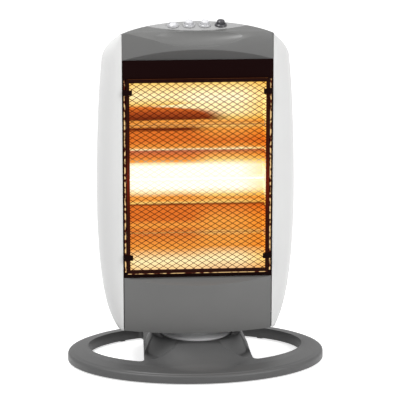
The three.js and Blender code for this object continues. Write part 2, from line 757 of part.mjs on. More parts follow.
// The control seat, seen square to its slope, as a lens with two arcs.
const slope = Math.atan2(bodyTop - roofFrontZ, roofCrestY - roofFrontY);
const seatY = (roofFrontY + roofCrestY) / 2;
const seatZ = (roofFrontZ + bodyTop) / 2;

function onSeat(solid) {
  return solid.rotate([slope / degrees, 0, 0]).translate([0, seatY, seatZ]);
}

function lens(grow) {
  const half = controlHalf + grow;
  const bow = controlDepth / 2 + grow;
  const steps = 12;
  const edge = (sign) => Array.from({ length: steps }, (_, i) => {
    const share = mix(-1, 1, i / steps);
    return [sign * share * half, sign * -bow * (1 - share ** 2)];
  });
  return onSeat(upright(shapeOf([...edge(1), ...edge(-1)]), -2 * roofEdgeDrop, roofEdgeDrop));
}

// The hollow in the brow below the control plate.
function browBall(grow, across, upDown) {
  return toSolid(new THREE.SphereGeometry(1, across, upDown))
    .scale([browHollowX + grow, browHollowY + grow, browHollowZ + grow])
    .translate([0, roofFrontY - browHollowY, roofFrontZ + browHollowRise]);
}

const browHollow = browBall(0, 36, 20);
const browShell = browBall(panelWall, 24, 14);

const plateBelow = middleMass(controlThickness + gap);

const topPanel = middleOuter
  .intersect(aboveWindow(0, rearSplitY))
  .subtract(browHollow)
  .subtract(middleInner.intersect(aboveWindow(panelWall, rearSplitY + past)).subtract(browShell)
    .subtract(lens(controlLedge).subtract(middleMass(controlThickness + gap + panelWall))))
  .subtract(lens(gap).subtract(plateBelow))
  .subtract(lens(-controlLedge));
add('top_panel', topPanel, 'panel');

const lowerPanel = middleOuter
  .intersect(belowWindow(0))
  .subtract(middleInner.intersect(belowWindow(panelWall)));
add('lower_panel', lowerPanel, 'panel');

// ---------------------------------------------------------------- rear panel and floor

function rearPanel() {
  const rearPart = block(-seamHalf, seamHalf, rearSplitY + gap, bodyRearY + past, bodyBottom, bodyTop + past);
  const slots = [];
  const banks = [[bodyBottom + lowerSlotRise, lowerSlotRows], [gripZ - upperSlotDrop, upperSlotRows]];
  for (const [low, rows] of banks) {
    for (let row = 0; row < rows; row += 1) {
      const z = low + row * slotPitch;
      for (const x of [-slotMiddleX, slotMiddleX]) {
        slots.push(block(x - slotLength / 2, x + slotLength / 2, rearSplitY, bodyRearY + past, z, z + slotWidth));
      }
    }
  }
  const grip = block(-gripHalf, gripHalf, bodyRearY - gripDepth, bodyRearY + past,
    gripZ, gripZ + gripHeight);
  const gripWall = block(-gripHalf - panelWall, gripHalf + panelWall, bodyRearY - gripDepth - panelWall,
    bodyRearY - joinDepth, gripZ - panelWall, gripZ + gripHeight + panelWall);
  return middleOuter.intersect(rearPart)
    .subtract(middleInner)
    .add(gripWall)
    .subtract(grip)
    .subtract(wasm.Manifold.union(slots))
    .subtract(lengthways(shapeOf(circle(glandX, glandZ, glandRadius + gap)), rearSplitY, bodyRearY + past));
}

add('rear_panel', rearPanel(), 'panel');

const glandBody = turned([
  [glandBore, -glandLength],
  [glandRadius, -glandLength],
  [glandRadius, gap],
  [glandFlange, gap],
  [glandFlange, glandFlangeHeight],
  [glandBore, glandFlangeHeight],
], 24).rotate([-90, 0, 0]);
add('cable_gland', glandBody, 'black').position.set(glandX, bodyRearY, glandZ);

function floorPan() {
  const half = sidePlan(bottomHalf, panelWall + floorClear);
  const radius = (seamHalf ** 2 + frontBulge ** 2) / (2 * frontBulge);
  const centreY = bulgeY + radius;
  const steps = 10;
  const inset = panelWall + floorClear;
  const front = Array.from({ length: steps + 1 }, (_, i) => {
    const x = mix(-seamHalf, seamHalf, i / steps);
    return [x, centreY - Math.sqrt(radius ** 2 - x ** 2) + inset];
  });
  const rightEdge = half.slice(1);
  const leftEdge = rightEdge.map(([x, y]) => [-x, y]).reverse();
  const plan = [...front, ...rightEdge, ...leftEdge];
  return upright(shapeOf(plan), floorBottom, floorTop)
    .subtract(block(-rearHalf - gap, rearHalf + gap, farY, flangeEnd + gap, bodyBottom - past, floorTop + past))
    .subtract(disc(driveShaftRadius + gap, floorBottom - past, floorTop + past, 16)
      .translate([0, -driveOffset, 0]))
    .subtract(disc(spigotBore, floorBottom - past, floorTop + past, 24));
}

add('floor_pan', floorPan(), 'black');

// ---------------------------------------------------------------- window surround and guard

const surroundHalf = seamHalf - 2 * gap;
const surroundLow = windowBottom + gap;
const surroundHigh = windowTop - gap;
const surroundBackY = surroundY + surroundThickness;

// Black sheet round the window: the deep baffle above the guard, a strip on each side and a sill.
const baffle = block(-surroundHalf, surroundHalf, surroundY, surroundBackY, guardTop + gap, surroundHigh)
  .add(block(-surroundHalf, surroundHalf, surroundY, lipEnd, surroundHigh - surroundThickness, surroundHigh));
add('window_baffle', baffle, 'black');

const stripBody = block(surroundOpeningHalf, surroundHalf, surroundY, surroundBackY, guardBottom, guardTop);
add('window_strip_right', stripBody, 'black');
add('window_strip_left', stripBody.mirror([1, 0, 0]), 'black');
add('window_sill', block(-surroundHalf, surroundHalf, surroundY, surroundBackY,
  surroundLow, guardBottom - gap), 'black');

// Diamond guard: two families of slanting strands, as one sheet with a diamond left open in each cell.
function guardMesh() {
  const width = (2 * guardHalfWidth - 2 * guardStrand) / guardColumns;
  const height = (guardTop - guardBottom - 2 * guardStrand) / guardRows;
  const low = guardBottom + guardStrand;
  const left = -guardHalfWidth + guardStrand;
  const strandShare = (guardStrand * Math.hypot(width, height)) / (width * height);
  const halfWidth = (width / 2) * (1 - strandShare);
  const halfHeight = (height / 2) * (1 - strandShare);
  const diamonds = [];
  const slack = 0.01;
  const isInside = ([x, z]) => Math.abs(x) < -left + slack && z > low - slack
    && z < guardTop - guardStrand + slack;
  const addDiamond = (x, z) => {
    const corners = [[x - halfWidth, z], [x, z - halfHeight], [x + halfWidth, z], [x, z + halfHeight]]
      .filter(isInside);
    if (corners.length > 2) {
      diamonds.push(lengthways(shapeOf(corners), guardY - guardThickness - past, guardY + past));
    }
  };
  for (let row = 0; row <= 2 * guardRows; row += 1) {
    const shifted = row % 2 === 0;
    const z = low + (row * height) / 2;
    for (let column = 0; column <= guardColumns; column += 1) {
      const x = left + (column + (shifted ? 0 : 0.5)) * width;
      addDiamond(x, z);
    }
  }
  return block(-guardHalfWidth, guardHalfWidth, guardY - guardThickness, guardY, guardBottom, guardTop)
    .subtract(wasm.Manifold.union(diamonds));
}

const rodHalf = guardHalfWidth - rodInset;

// Square bars welded to the back of the mesh, round its edge.
function guardFrame() {
  const low = guardBottom + rodInset;
  const high = guardTop - rodInset;
  return block(-rodHalf, rodHalf, guardY - joinDepth, guardY + rodSize, low, high)
    .subtract(block(-rodHalf + rodSize, rodHalf - rodSize, guardY - past, guardY + rodSize + past,
      low + rodSize, high - rodSize));
}

add('guard', guardMesh().add(guardFrame()), 'black');

// Clip that hooks over the guard's edge, with a leg that stands on the surround.
function guardClip() {
  const front = guardY - guardThickness - gap;
  const legStart = guardHalfWidth + gap;
  return block(legStart - clipWidth, legStart + clipLegWidth, front - clipThickness, front,
    -clipHeight / 2, clipHeight / 2)
    .add(block(legStart, legStart + clipLegWidth, front - joinDepth, surroundY - gap,
      -clipHeight / 2, clipHeight / 2));
}

const clip = guardClip();
clipZ.forEach((z, i) => {
  const level = i === 0 ? 'lower' : 'upper';
  add(`guard_clip_${level}_right`, clip, 'black').position.z = z;
  add(`guard_clip_${level}_left`, clip.mirror([1, 0, 0]), 'black').position.z = z;
});

// ---------------------------------------------------------------- reflector and tubes

const surroundBack = surroundBackY + gap;
const troughTopZ = troughBottomZ + troughCount * troughPitch;

// Side view of the polished sheet: a flared lip, one trough behind each tube, and a flared lip.
function reflectorLine() {
  const line = [[surroundBack, guardBottom - 1]];
  const steps = 10;
  for (let trough = 0; trough < troughCount; trough += 1) {
    for (let i = trough === 0 ? 0 : 1; i <= steps; i += 1) {
      const share = i / steps;
      const depth = troughDepth * (1 - (2 * share - 1) ** 2);
      line.push([ridgeY + depth, troughBottomZ + (trough + share) * troughPitch]);
    }
  }
  line.push([surroundBack, guardTop + 1]);
  return line;
}

const reflectorFace = reflectorLine();
const reflectorRear = offsetLine(reflectorFace, -sheet);
add('reflector', sideways(shapeOf([...reflectorRear, ...[...reflectorFace].reverse()]),
  -reflectorHalf, reflectorHalf), 'steel');

const endPlateIn = reflectorHalf + gap;
const endPlateOut = endPlateIn + sheet;
const tubeZ = Array.from({ length: troughCount },
  (_, i) => troughBottomZ + (i + 0.5) * troughPitch - tubeDrop);

function endPlate() {
  const plate = block(endPlateIn, endPlateOut, surroundBack, ridgeY + troughDepth + sheet,
    guardBottom - 1, guardTop + 1);
  const holes = tubeZ.map((z) => disc(capRadius + tubeHoleClear, endPlateIn - past, endPlateOut + past, 20)
    .rotate([0, 90, 0]).translate([0, tubeY, z]));
  return plate.subtract(wasm.Manifold.union(holes));
}

const rightEnd = endPlate();
add('reflector_end_right', rightEnd, 'steel');
add('reflector_end_left', rightEnd.mirror([1, 0, 0]), 'steel');

const glassHalf = reflectorHalf - gap;
const glass = pipe(tubeRadius - tubeWall, tubeRadius, -glassHalf, glassHalf, 14);
const filament = disc(filamentRadius, -glassHalf, glassHalf, 8);
const cap = turned([
  [0, glassHalf + gap],
  [capRadius, glassHalf + gap],
  [capRadius, glassHalf + capLength - 6],
  [capRadius - 2, glassHalf + capLength - 6],
  [capRadius - 2, glassHalf + capLength],
  [0, glassHalf + capLength],
], 12);

tubeZ.forEach((z, i) => {
  const tube = new THREE.Group();
  tube.position.set(0, tubeY, z);
  tube.rotation.y = Math.PI / 2;
  group.add(tube);
  add(`tube_glass_${i + 1}`, glass, 'quartz', tube);
  add(`tube_filament_${i + 1}`, filament, 'filament', tube);
  add(`tube_cap_right_${i + 1}`, cap, 'ceramic', tube);
  add(`tube_cap_left_${i + 1}`, cap.mirror([0, 0, 1]), 'ceramic', tube);
});

// ---------------------------------------------------------------- controls

const buttonX = (i) => (i - (buttonCount - 1) / 2) * buttonSpacing;
const holeRadius = bezelRadius - 1.6;
const seatHoles = wasm.Manifold.union(Array.from({ length: buttonCount }, (_, i) =>
  onSeat(disc(holeRadius, -past, past, 24).translate([buttonX(i), 0, 0]))));

const controlPlate = middleOuter
  .intersect(lens(0))
  .subtract(middleMass(controlThickness))
  .subtract(seatHoles);
add('control_plate', controlPlate, 'plate');

const seat = new THREE.Group();
seat.position.set(0, seatY, seatZ);
seat.rotation.x = slope;
group.add(seat);

// Height of the curved plate under one bezel, on the seat's own axes.
const crown = middleOuter.translate([0, -seatY, -seatZ]).rotate([-slope / degrees, 0, 0]);

function plateTop(x) {
  return crown.intersect(disc(bezelRadius, -past, past, 20).translate([x, 0, 0])).boundingBox().max[2];
}

const bezel = turned([
  [buttonRadius + gap, -bezelStub],
  [holeRadius - gap, -bezelStub],
  [holeRadius - gap, 0],
  [bezelRadius, 0],
  [bezelRadius - 0.8, bezelHeight - 1],
  [buttonRadius + 1.4, bezelHeight],
  [buttonRadius + gap, bezelHeight - 0.6],
], 20);
const switchTop = -bezelStub - gap;
const stemRadius = 2.5;
const stemEnd = switchTop - stemLength - buttonTravel;

const button = turned([
  [0, stemEnd],
  [stemRadius, stemEnd],
  [stemRadius, switchTop + gap + buttonTravel],
  [buttonRadius, switchTop + gap + buttonTravel],
  [buttonRadius, buttonRaised - 2.2],
  [buttonRadius - 1.2, buttonRaised - 0.8],
  [buttonRadius - 3.2, buttonRaised],
  [0, buttonRaised + 0.2],
], 18);

const switchBox = block(-switchWidth / 2, switchWidth / 2, -switchDepth / 2, switchDepth / 2,
  switchTop - switchHeight, switchTop)
  .subtract(disc(stemRadius + gap, stemEnd - buttonTravel - gap, switchTop + past, 16));

for (let i = 0; i < buttonCount; i += 1) {
  const colour = i === buttonCount - 1 ? 'plate' : 'chrome';
  const place = new THREE.Group();
  place.position.set(buttonX(i), 0, plateTop(buttonX(i)) + gap);
  seat.add(place);
  add(`bezel_${i + 1}`, bezel, colour, place);
  const sunk = i === latchedButton ? buttonTravel - 1 : 0;
  add(`button_${i + 1}`, button, colour, place).position.z = -sunk;
  add(`switch_${i + 1}`, switchBox, 'black', place);
}

export default group;
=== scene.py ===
# %% [markdown]
# # A halogen heater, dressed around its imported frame
# The frame holds the heater's real sizes and the bodies that move. This lesson gives every surface
# its finish: moulded grey plastic, pale side panels, black sheet, a woven guard and the glow of one
# lit tube in a bright reflector. Each step says what the piece is on the real heater, how it could
# be made, and why it is made this way here.

# %% Load the frame
import math
import json
import bpy
import bmesh
from mathutils import Vector, Matrix

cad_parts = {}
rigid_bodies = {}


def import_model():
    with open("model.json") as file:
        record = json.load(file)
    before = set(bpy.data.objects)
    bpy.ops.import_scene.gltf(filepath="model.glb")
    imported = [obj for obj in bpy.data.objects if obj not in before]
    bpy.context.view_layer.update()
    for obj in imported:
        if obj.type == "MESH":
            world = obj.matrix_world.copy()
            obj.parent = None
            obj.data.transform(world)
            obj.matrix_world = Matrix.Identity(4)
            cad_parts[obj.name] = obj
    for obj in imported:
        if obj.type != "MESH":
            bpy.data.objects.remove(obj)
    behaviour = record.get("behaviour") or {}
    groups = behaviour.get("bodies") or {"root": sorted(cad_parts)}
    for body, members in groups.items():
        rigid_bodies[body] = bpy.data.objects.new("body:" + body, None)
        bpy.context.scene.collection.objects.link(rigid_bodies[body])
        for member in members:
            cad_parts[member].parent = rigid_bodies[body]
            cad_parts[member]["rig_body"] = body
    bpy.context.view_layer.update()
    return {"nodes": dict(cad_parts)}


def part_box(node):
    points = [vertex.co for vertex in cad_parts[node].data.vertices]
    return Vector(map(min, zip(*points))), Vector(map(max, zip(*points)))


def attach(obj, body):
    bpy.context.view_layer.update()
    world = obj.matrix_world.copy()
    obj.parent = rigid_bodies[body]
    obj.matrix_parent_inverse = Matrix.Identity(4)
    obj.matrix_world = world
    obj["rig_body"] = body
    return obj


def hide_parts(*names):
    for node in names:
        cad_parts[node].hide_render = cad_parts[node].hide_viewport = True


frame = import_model()
MM = 0.001

# %% [markdown]
# ## Camera
# The heater is seen a little from its left and from above, through a long lens. The camera stands
# on a sphere round a point on the swivel axis. Its lens is worked out from the scale that the
# finished picture needs: so many millimetres on the heater for each pixel of a 400 pixel frame.

# %% Camera
PICTURE_PX = 400
CAMERA_AZIMUTH = math.radians(-4.2)
CAMERA_ELEVATION = math.radians(14.0)
CAMERA_DISTANCE = 3.5
MM_PER_PX = 1.526
AXIS_PX = (195.6, 192.1)
AIM = Vector((0, 0, 0.265))


def make_camera():
    data = bpy.data.cameras.new("camera")
    camera = bpy.data.objects.new("camera", data)
    bpy.context.collection.objects.link(camera)
    flat, rise = math.cos(CAMERA_ELEVATION), math.sin(CAMERA_ELEVATION)
    away = Vector((math.sin(CAMERA_AZIMUTH) * flat, -math.cos(CAMERA_AZIMUTH) * flat, rise))
    camera.location = AIM + away * CAMERA_DISTANCE
    camera.rotation_euler = (-away).to_track_quat("-Z", "Y").to_euler()
    data.sensor_width = 36
    data.lens = data.sensor_width * CAMERA_DISTANCE / (PICTURE_PX * MM_PER_PX * MM)
    data.shift_x = (PICTURE_PX / 2 - AXIS_PX[0]) / PICTURE_PX
    data.shift_y = (AXIS_PX[1] - PICTURE_PX / 2) / PICTURE_PX
    bpy.context.scene.camera = camera
    return camera


print("lens:", round(make_camera().data.lens, 1), "mm")

# %% [markdown]
# ## Helpers for meshes
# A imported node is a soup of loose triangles. For a smooth surface it is copied, its doubles are
# merged, and every edge sharper than a few degrees is kept hard, as a moulding's edges are. Each
# finished piece rides one body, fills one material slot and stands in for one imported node.

# %% Mesh helpers
MERGE = 2e-5


def paint(mesh, material):
    mesh.materials.clear()
    mesh.materials.append(material)


def link(name, mesh, material=None):
    piece = bpy.data.objects.new(name, mesh)
    bpy.context.collection.objects.link(piece)
    if material:
        paint(mesh, material)
    return piece


def mesh_from(work, name):
    mesh = bpy.data.meshes.new(name)
    work.to_mesh(mesh)
    work.free()
    return mesh


def edit(mesh, *changes):
    """Opens a mesh in bmesh, makes some changes, and writes it back."""
    work = bmesh.new()
    work.from_mesh(mesh)
    for change in changes:
        change(work)
    work.to_mesh(mesh)
    work.free()


def merge(work):
    bmesh.ops.remove_doubles(work, verts=work.verts, dist=MERGE)


def shade(mesh, angle):
    mesh.shade_smooth()
    mesh.set_sharp_from_angle(angle=math.radians(angle))


def copy_of(node, name, material):
    work = bmesh.new()
    work.from_mesh(frame["nodes"][node].data)
    merge(work)
    bmesh.ops.dissolve_limit(work, angle_limit=math.radians(0.5), verts=work.verts, edges=work.edges)
    mesh = mesh_from(work, name)
    shade(mesh, 32)
    return link(name, mesh, material)


def finish_piece(piece, body, node):
    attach(piece, body)
    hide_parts(node)


def plain_mesh(piece):
    """Turns what the modifiers show into the piece's own mesh."""
    depsgraph = bpy.context.evaluated_depsgraph_get()
    mesh = bpy.data.meshes.new_from_object(piece.evaluated_get(depsgraph))
    piece.modifiers.clear()
    piece.data = mesh
    return piece


print("packed nodes:", len(frame["nodes"]))

# %% [markdown]
# ## Helpers for nodes
# Materials and Geometry Nodes are both trees, so the same few helpers build them. An input takes
# either a plain value, which is set on the node's own socket, or the output of another node, which
# is linked to it. Noise on object coordinates gives every finish its small irregularities.

# %% Node helpers


def srgb(red, green, blue):
    def linear(value):
        value /= 255
        return value / 12.92 if value <= 0.04045 else ((value + 0.055) / 1.055) ** 2.4
    return (linear(red), linear(green), linear(blue), 1.0)


def tinted(colour, factor):
    return tuple(min(1.0, channel * factor) for channel in colour[:3]) + (1.0,)


def fill(tree, target, inputs):
    """Feeds a node's inputs, by name or number, with values or with outputs of other nodes."""
    for key, value in inputs.items():
        if isinstance(value, bpy.types.NodeSocket):
            tree.links.new(value, target.inputs[key])
        else:
            target.inputs[key].default_value = value


def add_node(tree, kind, inputs, **settings):
    made = tree.nodes.new(kind)
    for key, value in settings.items():
        setattr(made, key, value)
    fill(tree, made, inputs)
    return made


def maths(tree, operation, *values):
    return add_node(tree, "ShaderNodeMath", dict(enumerate(values)), operation=operation).outputs[0]


def mixed(tree, share, one, other, blend="MIX"):
    colours = {0: share, 6: one, 7: other}
    return add_node(tree, "ShaderNodeMix", colours, data_type="RGBA", blend_type=blend).outputs[2]


def spread(tree, value, low, high, start=0.3, end=0.7, shape="LINEAR"):
    """Maps the range from start to end, in which most noise lies, onto the range low to high."""
    ends = {"Value": value, "From Min": start, "From Max": end, "To Min": low, "To Max": high}
    return add_node(tree, "ShaderNodeMapRange", ends, interpolation_type=shape).outputs["Result"]


def step_up(tree, value, start, end):
    """Zero before start and one past end, with a soft step between them."""
    return spread(tree, value, 0.0, 1.0, start, end, "SMOOTHSTEP")


def noise(tree, place, scale, detail=2.0, stretch=None):
    if stretch:
        stretched = {"Vector": place, "Scale": stretch}
        place = add_node(tree, "ShaderNodeMapping", stretched).outputs["Vector"]
    grain = {"Vector": place, "Scale": scale, "Detail": detail}
    return add_node(tree, "ShaderNodeTexNoise", grain).outputs["Fac"]


def new_material(name):
    material = bpy.data.materials.new(name)
    material.use_nodes = True
    tree = material.node_tree
    place = add_node(tree, "ShaderNodeTexCoord", {}).outputs["Object"]
    return material, tree, tree.nodes["Principled BSDF"], place


def axes(tree, place):
    return add_node(tree, "ShaderNodeSeparateXYZ", {"Vector": place}).outputs


print("node helpers ready")

# %% [markdown]
# ## Plastics, steel and rubber
# Moulded plastic is never one flat colour: it has a fine grain that scatters the highlight and
# faint clouds in its colour. One builder makes that for every slot of the record, and each finish
# states its own colour, gloss and grain. The dark plastics differ mostly in grey. The side panels
# are pale and a little glossier.

# %% Plastics, steel, rubber
CLOUD_SCALE, GLOSS_CHANGE, BUMP_HEIGHT = 9, 0.05, 0.0001


def surface(name, colour, roughness, grain_depth=0.02, grain=900, variation=0.04, metallic=0.0,
            stretch=None):
    material, tree, shader, place = new_material(name)
    clouds = spread(tree, noise(tree, place, CLOUD_SCALE, 4.0), 0.0, 1.0)
    fine = noise(tree, place, grain, 2.0, stretch)
    bump = {"Strength": grain_depth * 10, "Distance": BUMP_HEIGHT, "Height": fine}
    darker, lighter = (tinted(srgb(*colour), 1 + change) for change in (-variation, variation))
    fill(tree, shader, {
        "Base Color": mixed(tree, clouds, darker, lighter),
        "Roughness": spread(tree, fine, roughness - GLOSS_CHANGE, roughness + GLOSS_CHANGE),
        "Normal": add_node(tree, "ShaderNodeBump", bump).outputs["Normal"],
        "Metallic": metallic,
    })
    return material


LOOKS = {  # colour, roughness, depth and fineness of the grain, clouds, metallic, stretch
    "panel_plastic": ((98, 98, 97), 0.42),
    "foot_plastic": ((75, 75, 75), 0.48, 0.03),
    "side_plastic": ((223, 223, 222), 0.36, 0.01, 900, 0.015),
    "control_plastic": ((152, 152, 152), 0.4, 0.015),
    "silver_plastic": ((206, 206, 209), 0.28, 0.008),
    "dark_plastic": ((62, 61, 65), 0.34, 0.01),
    "black_steel": ((12, 7, 6), 0.5, 0.04, 1400),
    "black_plastic": ((24, 24, 26), 0.45, 0.03),
    "motor_steel": ((190, 190, 192), 0.3, 0.02, 900, 0.04, 1.0, (1, 1, 12)),
    "ceramic": ((232, 226, 212), 0.6, 0.03, 500),
    "rubber": ((30, 30, 31), 0.75, 0.05, 700),
    "nylon": ((226, 222, 210), 0.4, 0.01),
}
FINISHES = {name: surface(name, *look) for name, look in LOOKS.items()}
BEZEL_SILVER = surface("bezel_silver", (172, 172, 174), 0.25, 0.008)
# Painted light: the turning disc is of the foot's grey plastic, painted far paler so that its top looks lit
# in the shade under the body.
DISC_PAINTED_LIGHT = surface("disc_plastic_painted_light", (206, 206, 207), 0.35, 0.01)
print("finishes:", ", ".join(sorted(FINISHES)))

# %% [markdown]
# ## The colours of the glow
# The reflector is bright rolled sheet, bent into three troughs. Only the middle tube is lit. Its
# light makes a white band in its own trough and orange bands in the other two. A picture can't
# hold that range of light, so the glow is laid on the reflector by height. Each line of a table
# says how far over the lit tube a colour starts, in metres. The left and the right of the sheet
# catch the light differently, so each has a table of its own.

# %% Glow colours
LIT_TROUGH, SPAN = 0.294, 0.15
WHITE = (255, 253, 244)
PALE = (255, 241, 196)
CREAM = (252, 232, 176)
YELLOW = (242, 200, 110)
AMBER = (232, 150, 62)
ORANGE = (212, 108, 38)
RUST = (160, 66, 22)
BROWN = (96, 32, 8)

LEFT_GLOW = [
    (-0.150, AMBER), (-0.132, CREAM), (-0.118, AMBER), (-0.098, ORANGE), (-0.086, AMBER),
    (-0.078, ORANGE), (-0.052, ORANGE), (-0.047, BROWN), (-0.043, YELLOW), (-0.040, AMBER),
    (-0.035, AMBER), (-0.030, CREAM), (-0.025, WHITE), (0.007, WHITE), (0.011, CREAM),
    (0.015, AMBER), (0.027, ORANGE), (0.037, RUST), (0.040, CREAM), (0.0425, AMBER),
    (0.050, ORANGE), (0.062, ORANGE), (0.0655, BROWN), (0.0675, BROWN), (0.070, AMBER),
    (0.078, AMBER), (0.080, BROWN), (0.090, RUST), (0.100, ORANGE), (0.105, YELLOW),
    (0.120, CREAM), (0.150, YELLOW),
]
RIGHT_GLOW = [
    (-0.150, ORANGE), (-0.130, CREAM), (-0.116, AMBER), (-0.102, AMBER), (-0.098, YELLOW),
    (-0.093, AMBER), (-0.078, AMBER), (-0.052, ORANGE), (-0.047, BROWN), (-0.043, YELLOW),
    (-0.038, AMBER), (-0.034, YELLOW), (-0.030, CREAM), (-0.025, WHITE), (0.007, WHITE),
    (0.012, CREAM), (0.017, YELLOW), (0.027, AMBER), (0.037, RUST), (0.040, CREAM),
    (0.0425, AMBER), (0.050, ORANGE), (0.066, AMBER), (0.070, YELLOW), (0.076, AMBER),
    (0.082, YELLOW), (0.092, CREAM), (0.104, CREAM), (0.113, PALE), (0.120, PALE),
    (0.130, CREAM), (0.150, YELLOW),
]
print("glow:", len(LEFT_GLOW), "colours at the left,", len(RIGHT_GLOW), "at the right")

# %% [markdown]
# ## The lit reflector
# A colour ramp turns the height along the sheet's own Z axis into its painted glow, and noise
# stretched along X ripples that glow into the streaks that rolled metal reflects; the same noise
# sets the roughness. The two tables meet at a curve that runs out to the right as a dark wedge.
# Toward both ends the light turns redder, and at the top rim it turns a dull dark red. An attribute
# on the faces lets only the inner and front faces glow, so that no light shows at the rear slots.

# %% Reflector finish
STREAKS, RIPPLE = (22, 60, 420), 0.016
TURN_WIDTH, TURN_ZERO = 0.024, 0.5
TURN = [
    (-0.150, 0.010), (0.076, 0.010), (0.080, 0.044), (0.087, 0.038), (0.093, 0.024),
    (0.098, -0.010), (0.102, -0.070), (0.105, -0.005), (0.112, -0.015), (0.150, -0.015),
]
REDDER, REDDENS = (1.0, 0.78, 0.42, 1), ((0.060, 0.112), (-0.090, -0.114))
# At the top rim of the reflector the painted glow turns a dull dark red.
RIM_START, RIM_END, RIM_GLOW_RED = 0.4485, 0.4495, (74, 22, 8)
GLOW_STRENGTH = 1.16


def colour_ramp(tree, value, stops):
    ramp = add_node(tree, "ShaderNodeValToRGB", {"Fac": value})
    elements = ramp.color_ramp.elements
    elements.remove(elements[-1])
    elements[0].position, elements[0].color = stops[0]
    for position, colour in stops[1:]:
        elements.new(position).color = colour
    return ramp.outputs["Color"]


def ramp_place(rise):
    """Where a height over the lit tube lies on a ramp whose input carries the ripple."""
    return (rise + SPAN) / (2 * SPAN) + RIPPLE / 2


def reflector_material():
    material, tree, shader, place = new_material("polished_steel")
    x, _, z = axes(tree, place)
    streaks = noise(tree, place, 1.0, 4.0, STREAKS)
    height = spread(tree, z, 0.0, 1.0, LIT_TROUGH - SPAN, LIT_TROUGH + SPAN)
    wavy = maths(tree, "MULTIPLY_ADD", streaks, RIPPLE, height)
    sides = [colour_ramp(tree, wavy, [(ramp_place(rise), srgb(*colour)) for rise, colour in stops])
             for stops in (LEFT_GLOW, RIGHT_GLOW)]
    # A ramp holds no negative value, so the curve is kept half a metre to the right.
    turn = colour_ramp(tree, wavy, [(ramp_place(rise), (TURN_ZERO + at,) * 3 + (1,)) for rise, at in TURN])
    beyond = maths(tree, "MULTIPLY_ADD", turn, -1.0, x)
    glow = mixed(tree, step_up(tree, beyond, -TURN_ZERO - TURN_WIDTH, -TURN_ZERO + TURN_WIDTH), *sides)
    for start, end in REDDENS:
        glow = mixed(tree, step_up(tree, x, start, end), glow, REDDER, "MULTIPLY")
    glow = mixed(tree, step_up(tree, z, RIM_START, RIM_END), glow, srgb(*RIM_GLOW_RED))
    lit = add_node(tree, "ShaderNodeAttribute", {}, attribute_name="lit").outputs["Fac"]
    fill(tree, shader, {
        "Emission Color": glow,
        "Emission Strength": maths(tree, "MULTIPLY", lit, GLOW_STRENGTH),
        "Base Color": srgb(42, 22, 12),
        "Metallic": 1.0,
        "Roughness": spread(tree, streaks, 0.3, 0.45),
    })
    return material


FINISHES["polished_steel"] = reflector_material()
print("reflector: the turn runs through", len(TURN), "points")

# %% [markdown]
# ## Quartz and filament
# A quartz tube is a thin clear wall. Looked at square on it is nearly nothing, and at its edges it
# shows a pale sheen, so Layer Weight drives its alpha; that sheen is painted, in a warm base colour.
# The lit filament is a bright emitter, and the two cold ones carry a painted warm glow for the light
# that they give back.

# %% Quartz and filament


def quartz_material(name, glow):
    material, tree, shader, place = new_material(name)
    veil = noise(tree, place, 40, 2.0, (1, 6, 6))
    facing = add_node(tree, "ShaderNodeLayerWeight", {"Blend": 0.3}).outputs["Facing"]
    fill(tree, shader, {
        # Painted sheen: this warm base colour shows at the edges, where Layer Weight raises the alpha.
        "Base Color": srgb(255, 190, 110),
        "Roughness": spread(tree, veil, 0.08, 0.2),
        "Alpha": spread(tree, facing, 0.04, 0.35, 0.0, 1.0),
        "Emission Color": srgb(255, 246, 220),
        "Emission Strength": glow,
    })
    return material


def filament_material(name, colour, strength):
    material, tree, shader, place = new_material(name)
    bands = noise(tree, place, 60, 2.0, (6, 0.2, 0.2))
    fill(tree, shader, {
        "Base Color": srgb(60, 50, 45),
        "Metallic": 1.0,
        "Emission Color": mixed(tree, bands, tinted(colour, 0.75), colour),
        "Emission Strength": strength,
    })
    return material


FINISHES["quartz"] = quartz_material("quartz", 0.0)
# The cold filaments glow too: painted warm light, for what they give back from the lit tube.
FINISHES["filament"] = filament_material("filament_cold_painted_glow", srgb(222, 150, 70), 0.9)
LIT_QUARTZ = quartz_material("quartz_lit", 1.0)
LIT_FILAMENT = filament_material("filament_lit", srgb(255, 244, 214), 3.0)
print("quartz and filament, cold and lit")

# %% [markdown]
# ## The black sheet round the window
# The sheet, the bars and the wires round the reflector are black. The dull red that they give back
# where they face the lit tube is painted light: emission, with a colour ramp over the height of the
# window that says how much. The strips and the sill have a bare inner edge that mirrors the glow
# through the wires, and that reflection is painted as a line of short bright dashes: stretched
# noise, cut off beyond the edge.

# %% Black sheet
WINDOW_FOOT, WINDOW_HEAD = 0.15, 0.45
SHEET_SHINE, EDGE_BLUR = 0.02, 0.0003
STRIP_EDGE, SILL_EDGE = (0.1086, 0.1104), (0.1497, 0.1530)
STRIP_RUN, SILL_RUN = (0.153, 0.4490), (-1.0, 0.1060)
STRIP_DASHES, SILL_DASHES = (300, 300, 170), (95, 300, 300)


def sheet_material(name, base, glow):
    """Black sheet. glow builds the light that it gives back from the place on the object."""
    material, tree, shader, place = new_material(name)
    grain = noise(tree, place, 900)
    fill(tree, shader, {
        "Base Color": srgb(*base),
        "Roughness": spread(tree, grain, 0.45, 0.65),
        "Specular IOR Level": SHEET_SHINE,
        "Emission Color": glow(tree, place),
        "Emission Strength": 1.0,
    })
    return material


def by_height(*stops):
    def glow(tree, place):
        height = spread(tree, axes(tree, place)["Z"], 0.0, 1.0, WINDOW_FOOT, WINDOW_HEAD)
        return colour_ramp(tree, height, [(share, srgb(*colour)) for share, colour in stops])
    return glow


def band(tree, value, start, end):
    """One between start and end, and zero outside."""
    enter = step_up(tree, value, start - EDGE_BLUR, start + EDGE_BLUR)
    leave = step_up(tree, value, end - EDGE_BLUR, end + EDGE_BLUR)
    return maths(tree, "MULTIPLY_ADD", leave, -1.0, enter)
